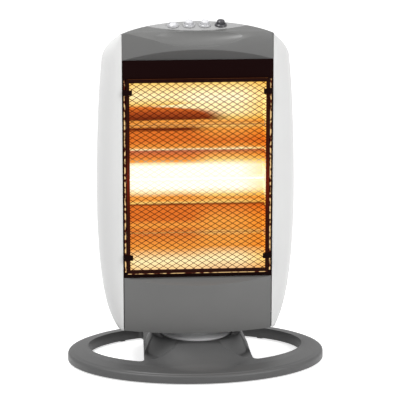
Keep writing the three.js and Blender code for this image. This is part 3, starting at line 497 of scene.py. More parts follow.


# Painted reflection: bright dashes on the bare edges of the strips and the sill, for the glow mirrored
# through the wires.
def mirrored_dashes(tree, place):
    x, _, z = axes(tree, place)
    side = maths(tree, "ABSOLUTE", x)
    tone, dull, bright = srgb(14, 3, 2), srgb(78, 22, 10), srgb(250, 206, 142)
    for stretch, across, edge, along, run in ((STRIP_DASHES, side, STRIP_EDGE, z, STRIP_RUN),
                                              (SILL_DASHES, z, SILL_EDGE, side, SILL_RUN)):
        dashes = step_up(tree, noise(tree, place, 1.0, 1.0, stretch), 0.42, 0.58)
        bare = maths(tree, "MULTIPLY", band(tree, across, *edge), band(tree, along, *run))
        tone = mixed(tree, bare, tone, mixed(tree, dashes, dull, bright))
    return tone


# Painted glow on the sheet and the guard bars: a dull red from the lit tube, strongest at its height.
SHEET_PAINTED_GLOW = sheet_material("sheet_painted_glow", (9, 5, 5), by_height(
    (0.0, (34, 10, 6)), (0.3, (52, 14, 5)), (0.48, (104, 24, 6)), (0.62, (56, 14, 5)),
    (1.0, (30, 9, 5))))
# Painted glow on the baffle and the guard clips: only a faint red.
BAFFLE_SHEET = sheet_material("sheet_baffle", (10, 5, 5), by_height((0.0, (14, 3, 2)), (1.0, (18, 3, 3))))
MIRROR_SHEET = sheet_material("sheet_mirror", (10, 5, 5), mirrored_dashes)
# Painted glow on the wires: near white where they cross the lit tube, dull red above and below.
WIRE_PAINTED_GLOW = sheet_material("wire_painted_glow", (6, 3, 2), by_height(
    (0.0, (54, 8, 2)), (0.33, (58, 8, 2)), (0.40, (96, 44, 14)), (0.445, (248, 226, 178)),
    (0.46, (252, 240, 206)), (0.565, (252, 240, 206)), (0.60, (104, 50, 18)), (0.65, (56, 8, 2)),
    (0.8, (60, 11, 2)), (1.0, (60, 14, 3))))
print("black sheet ready")

# %% [markdown]
# ## Curves for the mouldings
# The large mouldings are made again from the same curves as the frame, only much finer. Curves
# keep an outline short: four points bend a whole flank. Sizes from here on are in millimetres, and
# every solid is turned into metres as it is made.

# %% Curves


def lerp(start, end, share):
    return start + (end - start) * share


def clamp(value):
    return max(0.0, min(1.0, value))


def smooth(share):
    share = clamp(share)
    return share * share * (3 - 2 * share)


def bezier(points, steps):
    start, first, second, end = (Vector(point) for point in points)
    line = []
    for index in range(steps + 1):
        near, far = 1 - index / steps, index / steps
        line.append(start * near ** 3 + first * (3 * near * near * far)
                    + second * (3 * near * far * far) + end * far ** 3)
    return [tuple(point) for point in line]


def bend(start, end, first, second, steps):
    """A curve from start to end, pulled to two places that are given as shares of the way."""
    pulls = [[lerp(*ends, share) for *ends, share in zip(start, end, shares)] for shares in (first, second)]
    return bezier([start, *pulls, end], steps)


def offset_line(points, distance):
    moved = []
    for index, point in enumerate(points):
        before = Vector(points[max(index - 1, 0)])
        after = Vector(points[min(index + 1, len(points) - 1)])
        along = (after - before).normalized()
        moved.append((point[0] - along.y * distance, point[1] + along.x * distance))
    return moved


def oval(length, depth, steps):
    angles = [2 * math.pi * index / steps for index in range(steps)]
    return [(length * math.cos(angle), depth * math.sin(angle)) for angle in angles]


print("points of a quarter of a turn:", bend((1, 0), (0, 1), (0, 0.55), (0.45, 1), 4))

# %% [markdown]
# ## Solids from outlines
# A solid is either lofted, as a skin through rings of points, or pushed out of a flat outline
# along one axis. The slope of the roof is a lean: it lowers an outline toward the rear.

# %% Solids
SEAM_Y = -46  # where the middle of the housing meets its sides
PLACE = {
    "X": lambda u, v, w: (w, u, v),
    "Y": lambda u, v, w: (u, w, v),
    "Z": lambda u, v, w: (u, v, w),
}


def solid(name, points, faces):
    mesh = bpy.data.meshes.new(name)
    mesh.from_pydata([tuple(value * MM for value in point) for point in points], [], faces)
    mesh.update()
    edit(mesh, lambda work: bmesh.ops.recalc_face_normals(work, faces=work.faces))
    return link(name, mesh)


def walls(rings, count):
    """Faces between neighbouring rings of count points each."""
    faces = []
    for ring in range(rings - 1):
        for index in range(count):
            first = ring * count + index
            second = ring * count + (index + 1) % count
            faces.append((first, second, second + count, first + count))
    return faces


def loft(name, rings):
    """Skin through rings of equal length, closed at both ends by a fan."""
    count = len(rings[0])
    points = [point for ring in rings for point in ring]
    faces = walls(len(rings), count)
    for ring in (0, len(rings) - 1):
        points.append([sum(point[axis] for point in rings[ring]) / count for axis in range(3)])
        for index in range(count):
            faces.append((ring * count + index, ring * count + (index + 1) % count, len(points) - 1))
    return solid(name, points, faces)


def prism(name, outline, low, high, axis="Z", lean=0.0):
    """Pushes a flat outline along an axis. lean lowers it to the rear, as a slope from SEAM_Y."""
    count = len(outline)
    points = [PLACE[axis](u, v, end) for end in (low, high) for u, v in outline]
    points = [(x, y, z - lean * (y - SEAM_Y)) for x, y, z in points]
    return solid(name, points, [range(count), range(count, 2 * count)] + walls(2, count))


def disc(name, radius, low, high, steps=96):
    return prism(name, oval(radius, radius, steps), low, high)


print("axes to push an outline along:", ", ".join(PLACE))

# %% [markdown]
# ## Carving
# A moulding is what stays when one solid is taken out of another. The Boolean modifier does that,
# and its result becomes a plain mesh at once. At last a narrow Bevel rounds every sharp edge, as a
# mould must, so that each edge catches a line of light.

# %% Carving
SOFT_ANGLE = 35


def carve(piece, tool, operation="DIFFERENCE"):
    modifier = piece.modifiers.new("carve", "BOOLEAN")
    modifier.operation = operation
    modifier.solver = "MANIFOLD"
    modifier.object = tool
    plain_mesh(piece)
    bpy.data.objects.remove(tool)
    return piece


def soften(piece, width):
    edit(piece.data, merge,
         lambda work: bmesh.ops.dissolve_degenerate(work, edges=work.edges, dist=MERGE / 20))
    bevel = piece.modifiers.new("soften", "BEVEL")
    bevel.width = width * MM
    bevel.segments = 2
    bevel.limit_method = "ANGLE"
    bevel.angle_limit = math.radians(SOFT_ANGLE)
    bevel.use_clamp_overlap = True
    plain_mesh(piece)
    shade(piece.data, SOFT_ANGLE)


def finish_moulding(piece, width, body, slot, node):
    soften(piece, width)
    paint(piece.data, FINISHES[slot])
    finish_piece(piece, body, node)
    print(node, len(piece.data.polygons), "faces")


print("carving tools ready")

# %% [markdown]
# ## The foot, from one height rule
# The foot is one moulding: an oval ring with a bridge across it and a hub in its middle. A mould
# maker would carve it from height, and so does this step. One rule gives the height of the skin at
# every point: the ring climbs to its inner edge, a cone and a long tongue fall from the hub, and a
# scoop on each side of the tongue takes the tongue away.

# %% Height of the foot
PAST = 5  # how far a cutting solid reaches past what it cuts
FOOT_LENGTH, FOOT_DEPTH, FOOT_WALL = 198, 135, 2.8
FOOT_LIFT, FOOT_SIDE_TOP, FOOT_ROUND = 2.6, 11, 4.5
RING_RISE, RING_SIDE, RING_FRONT, RING_BACK = 4, 32, 48, 25
HUB_TOP, HUB_WIDTH, HUB_DEPTH = 45, 69, 60
RAMP_SIDE, RAMP_NEAR, RAMP_FRONT, RAMP_BACK = 15, 24, 66, 34
SCOOP_X, SCOOP_Y, SCOOP_WIDTH, SCOOP_DEPTH = 84, -50, 52, 31
SCOOP_SQUARE, SCOOP_STEEP = 2.6, 6


def foot_height(x, y, wall):
    reach = math.hypot(x / FOOT_LENGTH, y / FOOT_DEPTH) or 1e-6
    inset = ((1 - reach) / reach) * math.hypot(x, y) + FOOT_ROUND
    ring = FOOT_SIDE_TOP + FOOT_ROUND + RING_RISE * min(1.0, inset / RING_SIDE)
    distance = math.hypot(x, y) or 1e-6
    hub = 1 / math.hypot(x / distance / (HUB_WIDTH - wall), y / distance / (HUB_DEPTH - wall))
    side = (x / distance) ** 2

    def fallen(end_ramp):
        share = clamp((distance - hub) / lerp(end_ramp, RAMP_SIDE, side))
        return lerp(HUB_TOP, ring, lerp(share, smooth(share), lerp(0.5, 1, share ** 2)))

    cone = fallen(RAMP_NEAR if y < 0 else RAMP_BACK)
    tongue = fallen(RAMP_FRONT if y < 0 else RAMP_BACK)
    across = abs(abs(x) - SCOOP_X) / (SCOOP_WIDTH + wall)
    along = abs(y - SCOOP_Y) / (SCOOP_DEPTH + wall)
    scoop_reach = (across ** SCOOP_SQUARE + along ** SCOOP_SQUARE) ** (1 / SCOOP_SQUARE)
    scoop = lerp(ring, HUB_TOP, min(1.0, scoop_reach) ** SCOOP_STEEP)
    return max(cone, min(tongue, scoop)) - wall


print("height of the hub:", round(foot_height(HUB_WIDTH / 2, 0, 0), 1), "mm")
print("height of the rim:", round(foot_height(FOOT_LENGTH, 0, 0), 1), "mm")

# %% [markdown]
# ## The skin of the foot
# A fine grid of rings follows the height rule from the rounded rim to the hub. That makes the edges
# of the scoops as crisp as they are on a real moulding. The same grid with a wall taken off gives
# the inside.

# %% Skin of the foot
ROUND_STEPS = 8
LAST_RING_INSET, RING_CROWDING = 4, 0.8


def foot_mass(name, wall, segments, steps):
    def ring(length, depth, height=None):
        return [(x, y, foot_height(x, y, wall) if height is None else height)
                for x, y in oval(length, depth, segments)]

    length, depth = FOOT_LENGTH - wall, FOOT_DEPTH - wall
    rings = [ring(length, depth, FOOT_LIFT - (PAST if wall else 0))]
    for index in range(ROUND_STEPS + 1):
        angle = math.pi / 2 * index / ROUND_STEPS
        inset = FOOT_ROUND * (1 - math.cos(angle))
        rings.append(ring(length - inset, depth - inset, FOOT_SIDE_TOP - wall + FOOT_ROUND * math.sin(angle)))
    for index in range(1, steps + 1):
        share = index / steps
        rings.append(ring(lerp(length - FOOT_ROUND, HUB_WIDTH - LAST_RING_INSET, share ** RING_CROWDING),
                          lerp(depth - FOOT_ROUND, HUB_DEPTH - LAST_RING_INSET, share)))
    return loft(name, rings)


print("the rim is rounded in", ROUND_STEPS, "steps")

# %% [markdown]
# ## The openings of the foot
# On each side of the bridge the oval is open. The outline of an opening is an oval arc, closed by
# the slanting side of the bridge with a small round at both corners.

# %% Openings of the foot
BRIDGE_FRONT, BRIDGE_BACK, OPENING_CORNER = 84, 76, 9
OPENING_STEPS, CORNER_STEPS = 64, 8


def rounded_corner(start, pull, end):
    """Points of a curve from start to end that bends toward pull, without its first point."""
    line = []
    for index in range(1, CORNER_STEPS + 1):
        share = index / CORNER_STEPS
        line.append([lerp(lerp(first, through, share), lerp(through, last, share), share)
                     for first, through, last in zip(start, pull, end)])
    return line


def opening_outline(side, grow):
    half_length = FOOT_LENGTH - RING_SIDE + grow
    depth = FOOT_DEPTH - (RING_FRONT + RING_BACK) / 2
    half_depth = depth + grow
    middle = (RING_FRONT - RING_BACK) / 2
    corner = OPENING_CORNER

    def bridge(y):
        share = (y - middle + depth) / (2 * depth)
        return lerp(BRIDGE_FRONT, BRIDGE_BACK, share) - grow

    front = math.acos((BRIDGE_FRONT - grow + corner) / half_length)
    back = math.acos((BRIDGE_BACK - grow + corner) / half_length)
    line = []
    for index in range(OPENING_STEPS + 1):
        angle = lerp(-front, back, index / OPENING_STEPS)
        line.append((half_length * math.cos(angle), middle + half_depth * math.sin(angle)))
    back_y = middle + half_depth * math.sin(back)
    front_y = middle - half_depth * math.sin(front)
    line += rounded_corner(line[-1], (bridge(back_y), back_y + corner / 4),
                           (bridge(back_y - corner), back_y - corner))
    line.append((bridge(front_y + corner), front_y + corner))
    line += rounded_corner(line[-1], (bridge(front_y), front_y - corner / 4), line[0])
    return [(side * x, y) for x, y in line[:-1]]


print("points round an opening:", len(opening_outline(1, 0)))

# %% [markdown]
# ## The foot, carved
# The skin is hollowed from below and opened at both sides. The hub gets a recess for the turning
# disc, a boss with a hole for its bush, and the curved slot in which the pin of the swing drive
# runs.

# %% Foot
RECESS_RADIUS, RECESS_DEPTH, RECESS_FLOOR = 57, 3.7, 3
BOSS_RADIUS, BOSS_LENGTH, BOSS_OVERLAP, BUSH_RADIUS = 19, 8, 1, 14.6
DRIVE_OFFSET, DRIVE_SLOT, DRIVE_REACH, DRIVE_STEPS = 38, 5.5, math.radians(44), 32
FOOT_EDGE = 0.7


def drive_slot():
    line = []
    for radius, sign in ((DRIVE_OFFSET + DRIVE_SLOT, 1), (DRIVE_OFFSET - DRIVE_SLOT, -1)):
        for index in range(DRIVE_STEPS + 1):
            angle = sign * lerp(-DRIVE_REACH, DRIVE_REACH, index / DRIVE_STEPS) - math.pi / 2
            line.append((radius * math.cos(angle), radius * math.sin(angle)))
    return line


def make_foot():
    recess_base = HUB_TOP - RECESS_DEPTH
    underside = recess_base - RECESS_FLOOR
    hollow = foot_mass("foot_hollow", FOOT_WALL, segments=160, steps=40)
    carve(hollow, disc("ceiling", FOOT_LENGTH + PAST, FOOT_LIFT - 2 * PAST, underside), "INTERSECT")
    for side in (-1, 1):
        carve(hollow, prism("hollow_opening", opening_outline(side, FOOT_WALL), -2 * PAST, HUB_TOP))
    foot = foot_mass("foot_moulding", 0, segments=320, steps=90)
    for side in (-1, 1):
        carve(foot, prism("opening", opening_outline(side, 0), -PAST, HUB_TOP + PAST))
    carve(foot, hollow)
    carve(foot, disc("recess", RECESS_RADIUS, recess_base, HUB_TOP + PAST, steps=160))
    carve(foot, disc("boss", BOSS_RADIUS, underside - BOSS_LENGTH, underside + BOSS_OVERLAP), "UNION")
    carve(foot, disc("bush_hole", BUSH_RADIUS, underside - 2 * BOSS_LENGTH, HUB_TOP))
    return carve(foot, prism("drive_slot", drive_slot(), underside - PAST, HUB_TOP))


finish_moulding(make_foot(), FOOT_EDGE, "foot", "foot_plastic", "foot_shell")

# %% [markdown]
# ## The housing, from its curves
# The housing is one volume cut into mouldings. Its front view gives the roof line, its plan gives
# the bulged front, and its side view gives the sloping seat of the controls. This step makes the
# sides. Each one is lofted through its plan at every height, and the roof leans to the rear, so
# that from the front only its crest shows.

# %% Side volume
BOTTOM, TOP, REAR_Y, BULGE, WALL = 61, 530, 52, 22, 2.6
SEAM, SIDE, SIDE_BOTTOM, SHOULDER = 113, 151, 124, 141.5
WIDEST_Z, WIDEST_Y, SHOULDER_Z, SEAM_TOP = 262, 0, 482, 518
ROOF_FALL, TILT_HEIGHT = 0.18, 120
GAP = 0.3
REAR_HALF = SEAM + GAP / 2
THINNEST_RING = 1.6


def side_outline():
    flank = bend((SIDE_BOTTOM, BOTTOM), (SIDE, WIDEST_Z), (0.81, 0.15), (1, 0.64), 28)
    upper = bend((SIDE, WIDEST_Z), (SHOULDER, SHOULDER_Z), (0, 0.36), (0.5, 0.78), 24)[1:]
    shoulder = bezier([(SHOULDER, SHOULDER_Z), (lerp(SHOULDER, SEAM, 0.07), lerp(SHOULDER_Z, SEAM_TOP, 0.42)),
                       (lerp(SHOULDER, SEAM, 0.42), lerp(SHOULDER_Z, SEAM_TOP, 0.72)),
                       (SEAM + 1, SEAM_TOP)], 20)[1:]
    return flank + upper + shoulder


def side_plan(half, wall):
    front = bend((REAR_HALF, SEAM_Y), (SIDE, WIDEST_Y), (0.5, 0.07), (0.92, 0.41), 24)
    rear = bend((SIDE, WIDEST_Y), (REAR_HALF, REAR_Y), (0, 0.5), (0.26, 1), 20)[1:]
    scale = (half - REAR_HALF) / (SIDE - REAR_HALF)
    line = [(REAR_HALF + (x - REAR_HALF) * scale, y) for x, y in front + rear]
    return offset_line(line, wall) if wall else line


def side_mass(name, wall):
    rings = []
    for half, z in side_outline():
        if half - REAR_HALF <= wall * THINNEST_RING:
            continue
        tilt = smooth((z - SEAM_TOP + TILT_HEIGHT) / TILT_HEIGHT)
        line = [(x, y, z - tilt * (ROOF_FALL * (y - SEAM_Y) + wall / 2)) for x, y in side_plan(half, wall)]
        if wall:
            inner = REAR_HALF - PAST
            line = [(inner, *line[0][1:])] + line + [(inner, *line[-1][1:])]
        rings.append(line)
    if wall:
        rings.insert(0, [(x, y, z - PAST) for x, y, z in rings[0]])
    return loft(name, rings)


print("outline points of a side panel:", len(side_outline()))

# %% [markdown]
# ## The middle of the housing
# The middle volume is carved from three sides, as a pattern maker would saw a block: the roof line
# from the front, the bulge from above, and the sloping seat with its crest from the side.

# %% Middle volume
ROOF_FRONT_Y, ROOF_FRONT_Z, CREST_Y = -44, 521.5, -6
FRONT_DROP, REAR_DROP = 26, 36
BULGE_Y = SEAM_Y - BULGE
ARC_STEPS = 64


def top_profile(wall):
    front, rear = BULGE_Y - 1, REAR_Y + 1
    roof_front = (ROOF_FRONT_Y, ROOF_FRONT_Z)
    line = bend((front, ROOF_FRONT_Z - FRONT_DROP), roof_front, (0.12, 0.54), (0.52, 0.88), 20)
    line += bend(roof_front, (CREST_Y, TOP), (0.34, 0.4), (0.7, 1), 14)[1:]
    line += bend((CREST_Y, TOP), (rear, TOP - REAR_DROP), (0.4, 0.06), (1, 0.33), 28)[1:]
    line = offset_line(line, -wall)
    return [(front + wall, BOTTOM - PAST)] + line + [(line[-1][0], BOTTOM - PAST)]


def roof_outline(half, wall):
    crown = TOP + ROOF_FALL * (CREST_Y - SEAM_Y)
    left = [(x, z - wall) for x, z in bend((-SEAM, SEAM_TOP), (0, crown), (0.15, 0.42), (0.47, 1), 32)]
    right = [(-x, z) for x, z in reversed(left[:-1])]
    low = BOTTOM - REAR_Y
    ends = [(-half, low), (-half, SEAM_TOP - wall)], [(half, SEAM_TOP - wall), (half, low)]
    middle = left + right
    return ends[0] + (middle if half > SEAM else middle[1:-1]) + ends[1]


def middle_plan(half, wall):
    radius = (SEAM ** 2 + BULGE ** 2) / (2 * BULGE)
    centre = BULGE_Y + radius
    arc = []
    for index in range(ARC_STEPS + 1):
        x = lerp(-half, half, index / ARC_STEPS)
        arc.append((x, centre - math.sqrt(radius ** 2 - x ** 2) + wall))
    return arc + [(half, REAR_Y - wall), (-half, REAR_Y - wall)]


def middle_mass(name, wall):
    half = SEAM + PAST if wall else SEAM - GAP / 2
    mass = prism(name, roof_outline(half, wall), BULGE_Y - PAST, REAR_Y + PAST, "Y", ROOF_FALL)
    low = BOTTOM - (PAST if wall else 0)
    carve(mass, prism("plan", middle_plan(half, wall), low, TOP + 2 * PAST), "INTERSECT")
    return carve(mass, prism("profile", top_profile(wall), -half - PAST, half + PAST, "X"), "INTERSECT")


print("outline points of the roof:", len(roof_outline(SEAM, 0)))

# %% [markdown]
# ## Side panels
# Each side panel is a deep satin shell. Its wall is what stays when the same volume, moved in by
# the wall, is taken away. The left one is the right one mirrored.

# %% Side panels
MOULD_EDGE = 0.5


def make_side(name, mirrored):
    panel = side_mass(name, 0)
    reach = SIDE + PAST
    carve(panel, prism("side_top", top_profile(0), 0, reach, "X"), "INTERSECT")
    inside = side_mass("side_inside", WALL)
    carve(inside, prism("inside_top", top_profile(WALL), 0, reach, "X"), "INTERSECT")
    carve(panel, inside)
    if mirrored:
        panel.data.transform(Matrix.Scale(-1, 4, (1, 0, 0)))
        panel.data.flip_normals()
    return panel


for side, mirrored in (("right", False), ("left", True)):
    panel = make_side("side_shell_" + side, mirrored)
    finish_moulding(panel, MOULD_EDGE, "heater", "side_plastic", "side_panel_" + side)

# %% [markdown]
# ## The cuts of the dark panels
# Both dark panels are parts of the middle volume. A flat facet runs over the window, and a smaller
# one under it. The brow is a thumb-shaped hollow, and a lens leaning with the roof cuts the seat of
# the control plate.

# %% Cuts of the dark panels
WINDOW_TOP, WINDOW_BOTTOM, TOP_FACET, BOTTOM_FACET = 479, 144, 19, 8
LIP, FLANGE, REAR_SPLIT_Y = 8, 14, 36
BROW_X, BROW_Y, BROW_Z, BROW_RISE = 80, 22, 21, 2
PLATE_HALF, PLATE_DEPTH, LENS_STEPS = 78, 34, 40
SEAT_SLOPE = math.atan2(TOP - ROOF_FRONT_Z, CREST_Y - ROOF_FRONT_Y)
SEAT_MIDDLE = Vector((0, (ROOF_FRONT_Y + CREST_Y) / 2, (ROOF_FRONT_Z + TOP) / 2)) * MM
FAR_Y = BULGE_Y - PAST
LIP_END, FLANGE_END = SEAM_Y + LIP, BULGE_Y + FLANGE
WIDE = SEAM + 2 * PAST


def above_window(lift, rear):
    floor = [(rear, WINDOW_TOP)]
    if lift:
        floor = [(LIP_END, WINDOW_TOP + lift), (LIP_END, WINDOW_TOP - PAST), (rear, WINDOW_TOP - PAST)]
    slope = TOP_FACET / BULGE
    outline = [(FAR_Y, WINDOW_TOP + lift + slope * (SEAM_Y - FAR_Y)), (SEAM_Y, WINDOW_TOP + lift)]
    outline += floor + [(rear, TOP + PAST), (FAR_Y, TOP + PAST)]
    return prism("above_window", outline, -WIDE, WIDE, "X")


def below_window(drop, half=WIDE):
    roof = WINDOW_BOTTOM - drop
    back = [(LIP_END, BOTTOM), (LIP_END, roof)]
    if drop:
        back = [(FLANGE_END, BOTTOM + drop), (FLANGE_END, BOTTOM - PAST), (LIP_END + PAST, BOTTOM - PAST),
                (LIP_END + PAST, WINDOW_BOTTOM + PAST), (LIP_END, WINDOW_BOTTOM + PAST), (LIP_END, roof)]
    slope = BOTTOM_FACET / BULGE
    outline = [(FAR_Y, BOTTOM + drop)] + back
    outline += [(SEAM_Y, roof), (FAR_Y, roof - slope * (SEAM_Y - FAR_Y))]
    return prism("below_window", outline, -half, half, "X")


def lens(grow):
    half, bow = PLATE_HALF + grow, PLATE_DEPTH / 2 + grow
    outline = []
    for sign in (1, -1):
        for index in range(LENS_STEPS):
            share = lerp(-1, 1, index / LENS_STEPS)
            outline.append((sign * share * half, -sign * bow * (1 - share * share)))
    piece = prism("lens", outline, -2 * FRONT_DROP, FRONT_DROP)
    piece.data.transform(Matrix.Translation(SEAT_MIDDLE) @ Matrix.Rotation(SEAT_SLOPE, 4, "X"))
    return piece


def brow(grow):
    work = bmesh.new()
    bmesh.ops.create_uvsphere(work, u_segments=160, v_segments=96, radius=MM)
    mesh = mesh_from(work, "brow")
    size = Matrix.Diagonal((BROW_X + grow, BROW_Y + grow, BROW_Z + grow, 1))
    place = Matrix.Translation(Vector((0, ROOF_FRONT_Y - BROW_Y, ROOF_FRONT_Z + BROW_RISE)) * MM)
    mesh.transform(place @ size)
    return link("brow", mesh)


print("the seat of the controls slopes by", round(math.degrees(SEAT_SLOPE), 1), "degrees")

# %% [markdown]
# ## Top and lower panels
# The top panel carries the hollow and the seat, with a ledge on which the control plate lies. The
# lower panel stands a little clear of the side panels, and that gap is the dark line beside it.

# %% Dark panels
PLATE_THICK, PLATE_LEDGE, LOWER_SEAM = 1.6, 2.5, 1.1


def make_top_panel():
    inside = middle_mass("top_inside", WALL)
    carve(inside, above_window(WALL, REAR_SPLIT_Y + PAST), "INTERSECT")
    carve(inside, brow(WALL))
    ledge = lens(PLATE_LEDGE)
    carve(ledge, middle_mass("ledge_inside", PLATE_THICK + GAP + WALL))
    carve(inside, ledge)
    panel = middle_mass("top_moulding", 0)
    carve(panel, above_window(0, REAR_SPLIT_Y), "INTERSECT")
    carve(panel, brow(0))
    carve(panel, inside)
    seat = lens(GAP)
    carve(seat, middle_mass("seat_inside", PLATE_THICK + GAP))
    carve(panel, seat)
    return carve(panel, lens(-PLATE_LEDGE))


def make_lower_panel():
    inside = middle_mass("lower_inside", WALL)
    carve(inside, below_window(WALL), "INTERSECT")
    panel = middle_mass("lower_moulding", 0)
    carve(panel, below_window(0, SEAM - LOWER_SEAM), "INTERSECT")
    return carve(panel, inside)


for node, make in (("top_panel", make_top_panel), ("lower_panel", make_lower_panel)):
    finish_moulding(make(), MOULD_EDGE, "heater", "panel_plastic", node)

# %% [markdown]
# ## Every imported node, finished
# The smaller parts are copied from the frame, merged and shaded smooth, and each copy rides the
# body of its node. The first table says only which finish a node takes, since the frame already
# knows its body. The second names the few that need a look of their own.

# %% Finished copies


def numbered(stem, count):
    return [f"{stem}_{number}" for number in range(1, count + 1)]


CLIPS = [f"guard_clip_{row}_{side}" for row in ("lower", "upper") for side in ("left", "right")]
PADS = [f"foot_pad_{end}_{side}" for end in ("front", "rear") for side in ("left", "right")]
SLOT_OF = {
    "panel_plastic": ["rear_panel"],
    "foot_plastic": ["swivel_disc"],
    "control_plastic": ["control_plate"],
    "silver_plastic": numbered("button", 3),
    "dark_plastic": numbered("bezel", 4) + ["button_4"],
    "black_steel": ["window_baffle", "window_strip_left", "window_strip_right", "window_sill"] + CLIPS,
    "black_plastic": ["foot_cover", "cable_gland", "floor_pan", "tip_switch"] + numbered("switch", 4),
    "polished_steel": ["reflector", "reflector_end_left", "reflector_end_right"],
    "motor_steel": ["swing_motor", "drive_fork"],
    "quartz": numbered("tube_glass", 3),
    "filament": numbered("tube_filament", 3),
    "ceramic": numbered("tube_cap_left", 3) + numbered("tube_cap_right", 3),
    "rubber": PADS,
    "nylon": ["bearing_bush", "spigot_retainer", "crank", "tip_plunger"],
}
SPECIAL = {
    "window_baffle": BAFFLE_SHEET,
    "window_strip_left": MIRROR_SHEET,
    "window_strip_right": MIRROR_SHEET,
    "window_sill": MIRROR_SHEET,
    "tube_filament_2": LIT_FILAMENT,
    "tube_glass_2": LIT_QUARTZ,
    "swivel_disc": DISC_PAINTED_LIGHT,
}
SPECIAL.update({node: BAFFLE_SHEET for node in CLIPS})
SPECIAL.update({node: BEZEL_SILVER for node in numbered("bezel", 3)})
INWARD_SHARE, FRONTWARD, TROUGH_FRONT_Y = 0.5, -0.02, -0.04


def mark_lit(piece):
    """Marks the faces that look into the troughs or to the front: only those may glow."""
    mesh = piece.data
    lit = mesh.attributes.new("lit", "FLOAT", "FACE")
    for face in mesh.polygons:
        inward = -face.normal.x * face.center.x > INWARD_SHARE * abs(face.center.x)
        outward = face.normal.y < FRONTWARD or face.center.y < TROUGH_FRONT_Y
        lit.data[face.index].value = float(inward or outward)


for slot, names in SLOT_OF.items():
    for node in names:
        piece = copy_of(node, node + "_finished", SPECIAL.get(node, FINISHES[slot]))
        if slot == "polished_steel":
            mark_lit(piece)
        finish_piece(piece, frame["nodes"][node]["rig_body"], node)
print("finished copies:", sum(len(names) for names in SLOT_OF.values()))

# %% [markdown]
# ## Helpers for Geometry Nodes
# Parts that repeat are made once and set out by a node tree. Each tree is built here with named
# inputs, makes its instances real, gives them their material, and ends as a plain mesh.

# %% Tree helpers
SOCKETS = {float: "NodeSocketFloat", int: "NodeSocketInt", bpy.types.Material: "NodeSocketMaterial"}


def node_tree(name, values):
    """An empty tree with one named input for each value that it will be given."""
    tree = bpy.data.node_groups.new(name, "GeometryNodeTree")
    for way in ("INPUT", "OUTPUT"):
        tree.interface.new_socket("Geometry", in_out=way, socket_type="NodeSocketGeometry")
    for label, value in values.items():
        tree.interface.new_socket(label, in_out="INPUT", socket_type=SOCKETS[type(value)])
    return tree, tree.nodes.new("NodeGroupInput").outputs, tree.nodes.new("NodeGroupOutput")


def vector(tree, x=0.0, y=0.0, z=0.0):
    return add_node(tree, "ShaderNodeCombineXYZ", {0: x, 1: y, 2: z}).outputs[0]


def mesh_line(tree, count, step_x=0.0, step_z=0.0):
    step = vector(tree, step_x, 0.0, step_z)
    return add_node(tree, "GeometryNodeMeshLine", {"Count": count, "Offset": step}).outputs["Mesh"]


def parity(tree):
    """Minus one for every even point of a line and one for every odd point."""
    index = add_node(tree, "GeometryNodeInputIndex", {}).outputs[0]
    return maths(tree, "MULTIPLY_ADD", maths(tree, "MODULO", index, 2.0), 2.0, -1.0)


def instances(tree, points, shape, turn=(0, 0, 0)):
    inputs = {"Points": points, "Instance": shape, "Rotation": turn}
    return add_node(tree, "GeometryNodeInstanceOnPoints", inputs).outputs["Instances"]


def finish_tree(tree, geometry, material, made):
    real = add_node(tree, "GeometryNodeRealizeInstances", {0: geometry}).outputs[0]
    painted = add_node(tree, "GeometryNodeSetMaterial", {"Geometry": real, "Material": material})
    tree.links.new(painted.outputs["Geometry"], made.inputs[0])


def built_piece(name, make_tree, values):
    piece = link(name, bpy.data.meshes.new(name))
    modifier = piece.modifiers.new("build", "NODES")
    modifier.node_group = make_tree(values)
    for item in modifier.node_group.interface.items_tree:
        if item.in_out == "INPUT" and item.name in values:
            modifier[item.identifier] = values[item.name]
    return plain_mesh(piece)


print("tree helpers ready")

# %% [markdown]
# ## The woven guard
# The guard is a mesh of thin wires: every wire is a zigzag, and each one touches the next at its
# peaks, which makes rows of diamonds. Geometry Nodes builds one zigzag from a counted line and
# stacks it, turning every second wire upside down.

# %% Guard built with Geometry Nodes
GUARD_LOW, GUARD_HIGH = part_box("guard")
DIAMOND_WIDTH, ROW_PITCH = 0.0134, 0.00415
WIRE_RADIUS, WIRE_SIDES, BAR_WIDTH = 0.00056, 5, 0.0046


def woven_tree(values):
    tree, given, made = node_tree("woven_guard", values)
    line = mesh_line(tree, given["Vertices"], given["Half pitch"])
    rise = maths(tree, "MULTIPLY", parity(tree), given["Half rise"])
    zigzag = add_node(tree, "GeometryNodeSetPosition", {"Geometry": line, "Offset": vector(tree, z=rise)})
    curve = add_node(tree, "GeometryNodeMeshToCurve", {0: zigzag.outputs["Geometry"]}).outputs[0]
    circle = {"Resolution": WIRE_SIDES, "Radius": given["Wire radius"]}
    profile = add_node(tree, "GeometryNodeCurvePrimitiveCircle", circle).outputs[0]
    swept = {"Curve": curve, "Profile Curve": profile, "Fill Caps": True}
    wire = add_node(tree, "GeometryNodeCurveToMesh", swept).outputs[0]
    rows = mesh_line(tree, given["Wires"], 0.0, maths(tree, "MULTIPLY", given["Half rise"], 2.0))
    half_turn = maths(tree, "MULTIPLY", maths(tree, "ADD", parity(tree), 1.0), math.pi / 2)
    finish_tree(tree, instances(tree, rows, wire, vector(tree, x=half_turn)), given["Material"], made)
    return tree


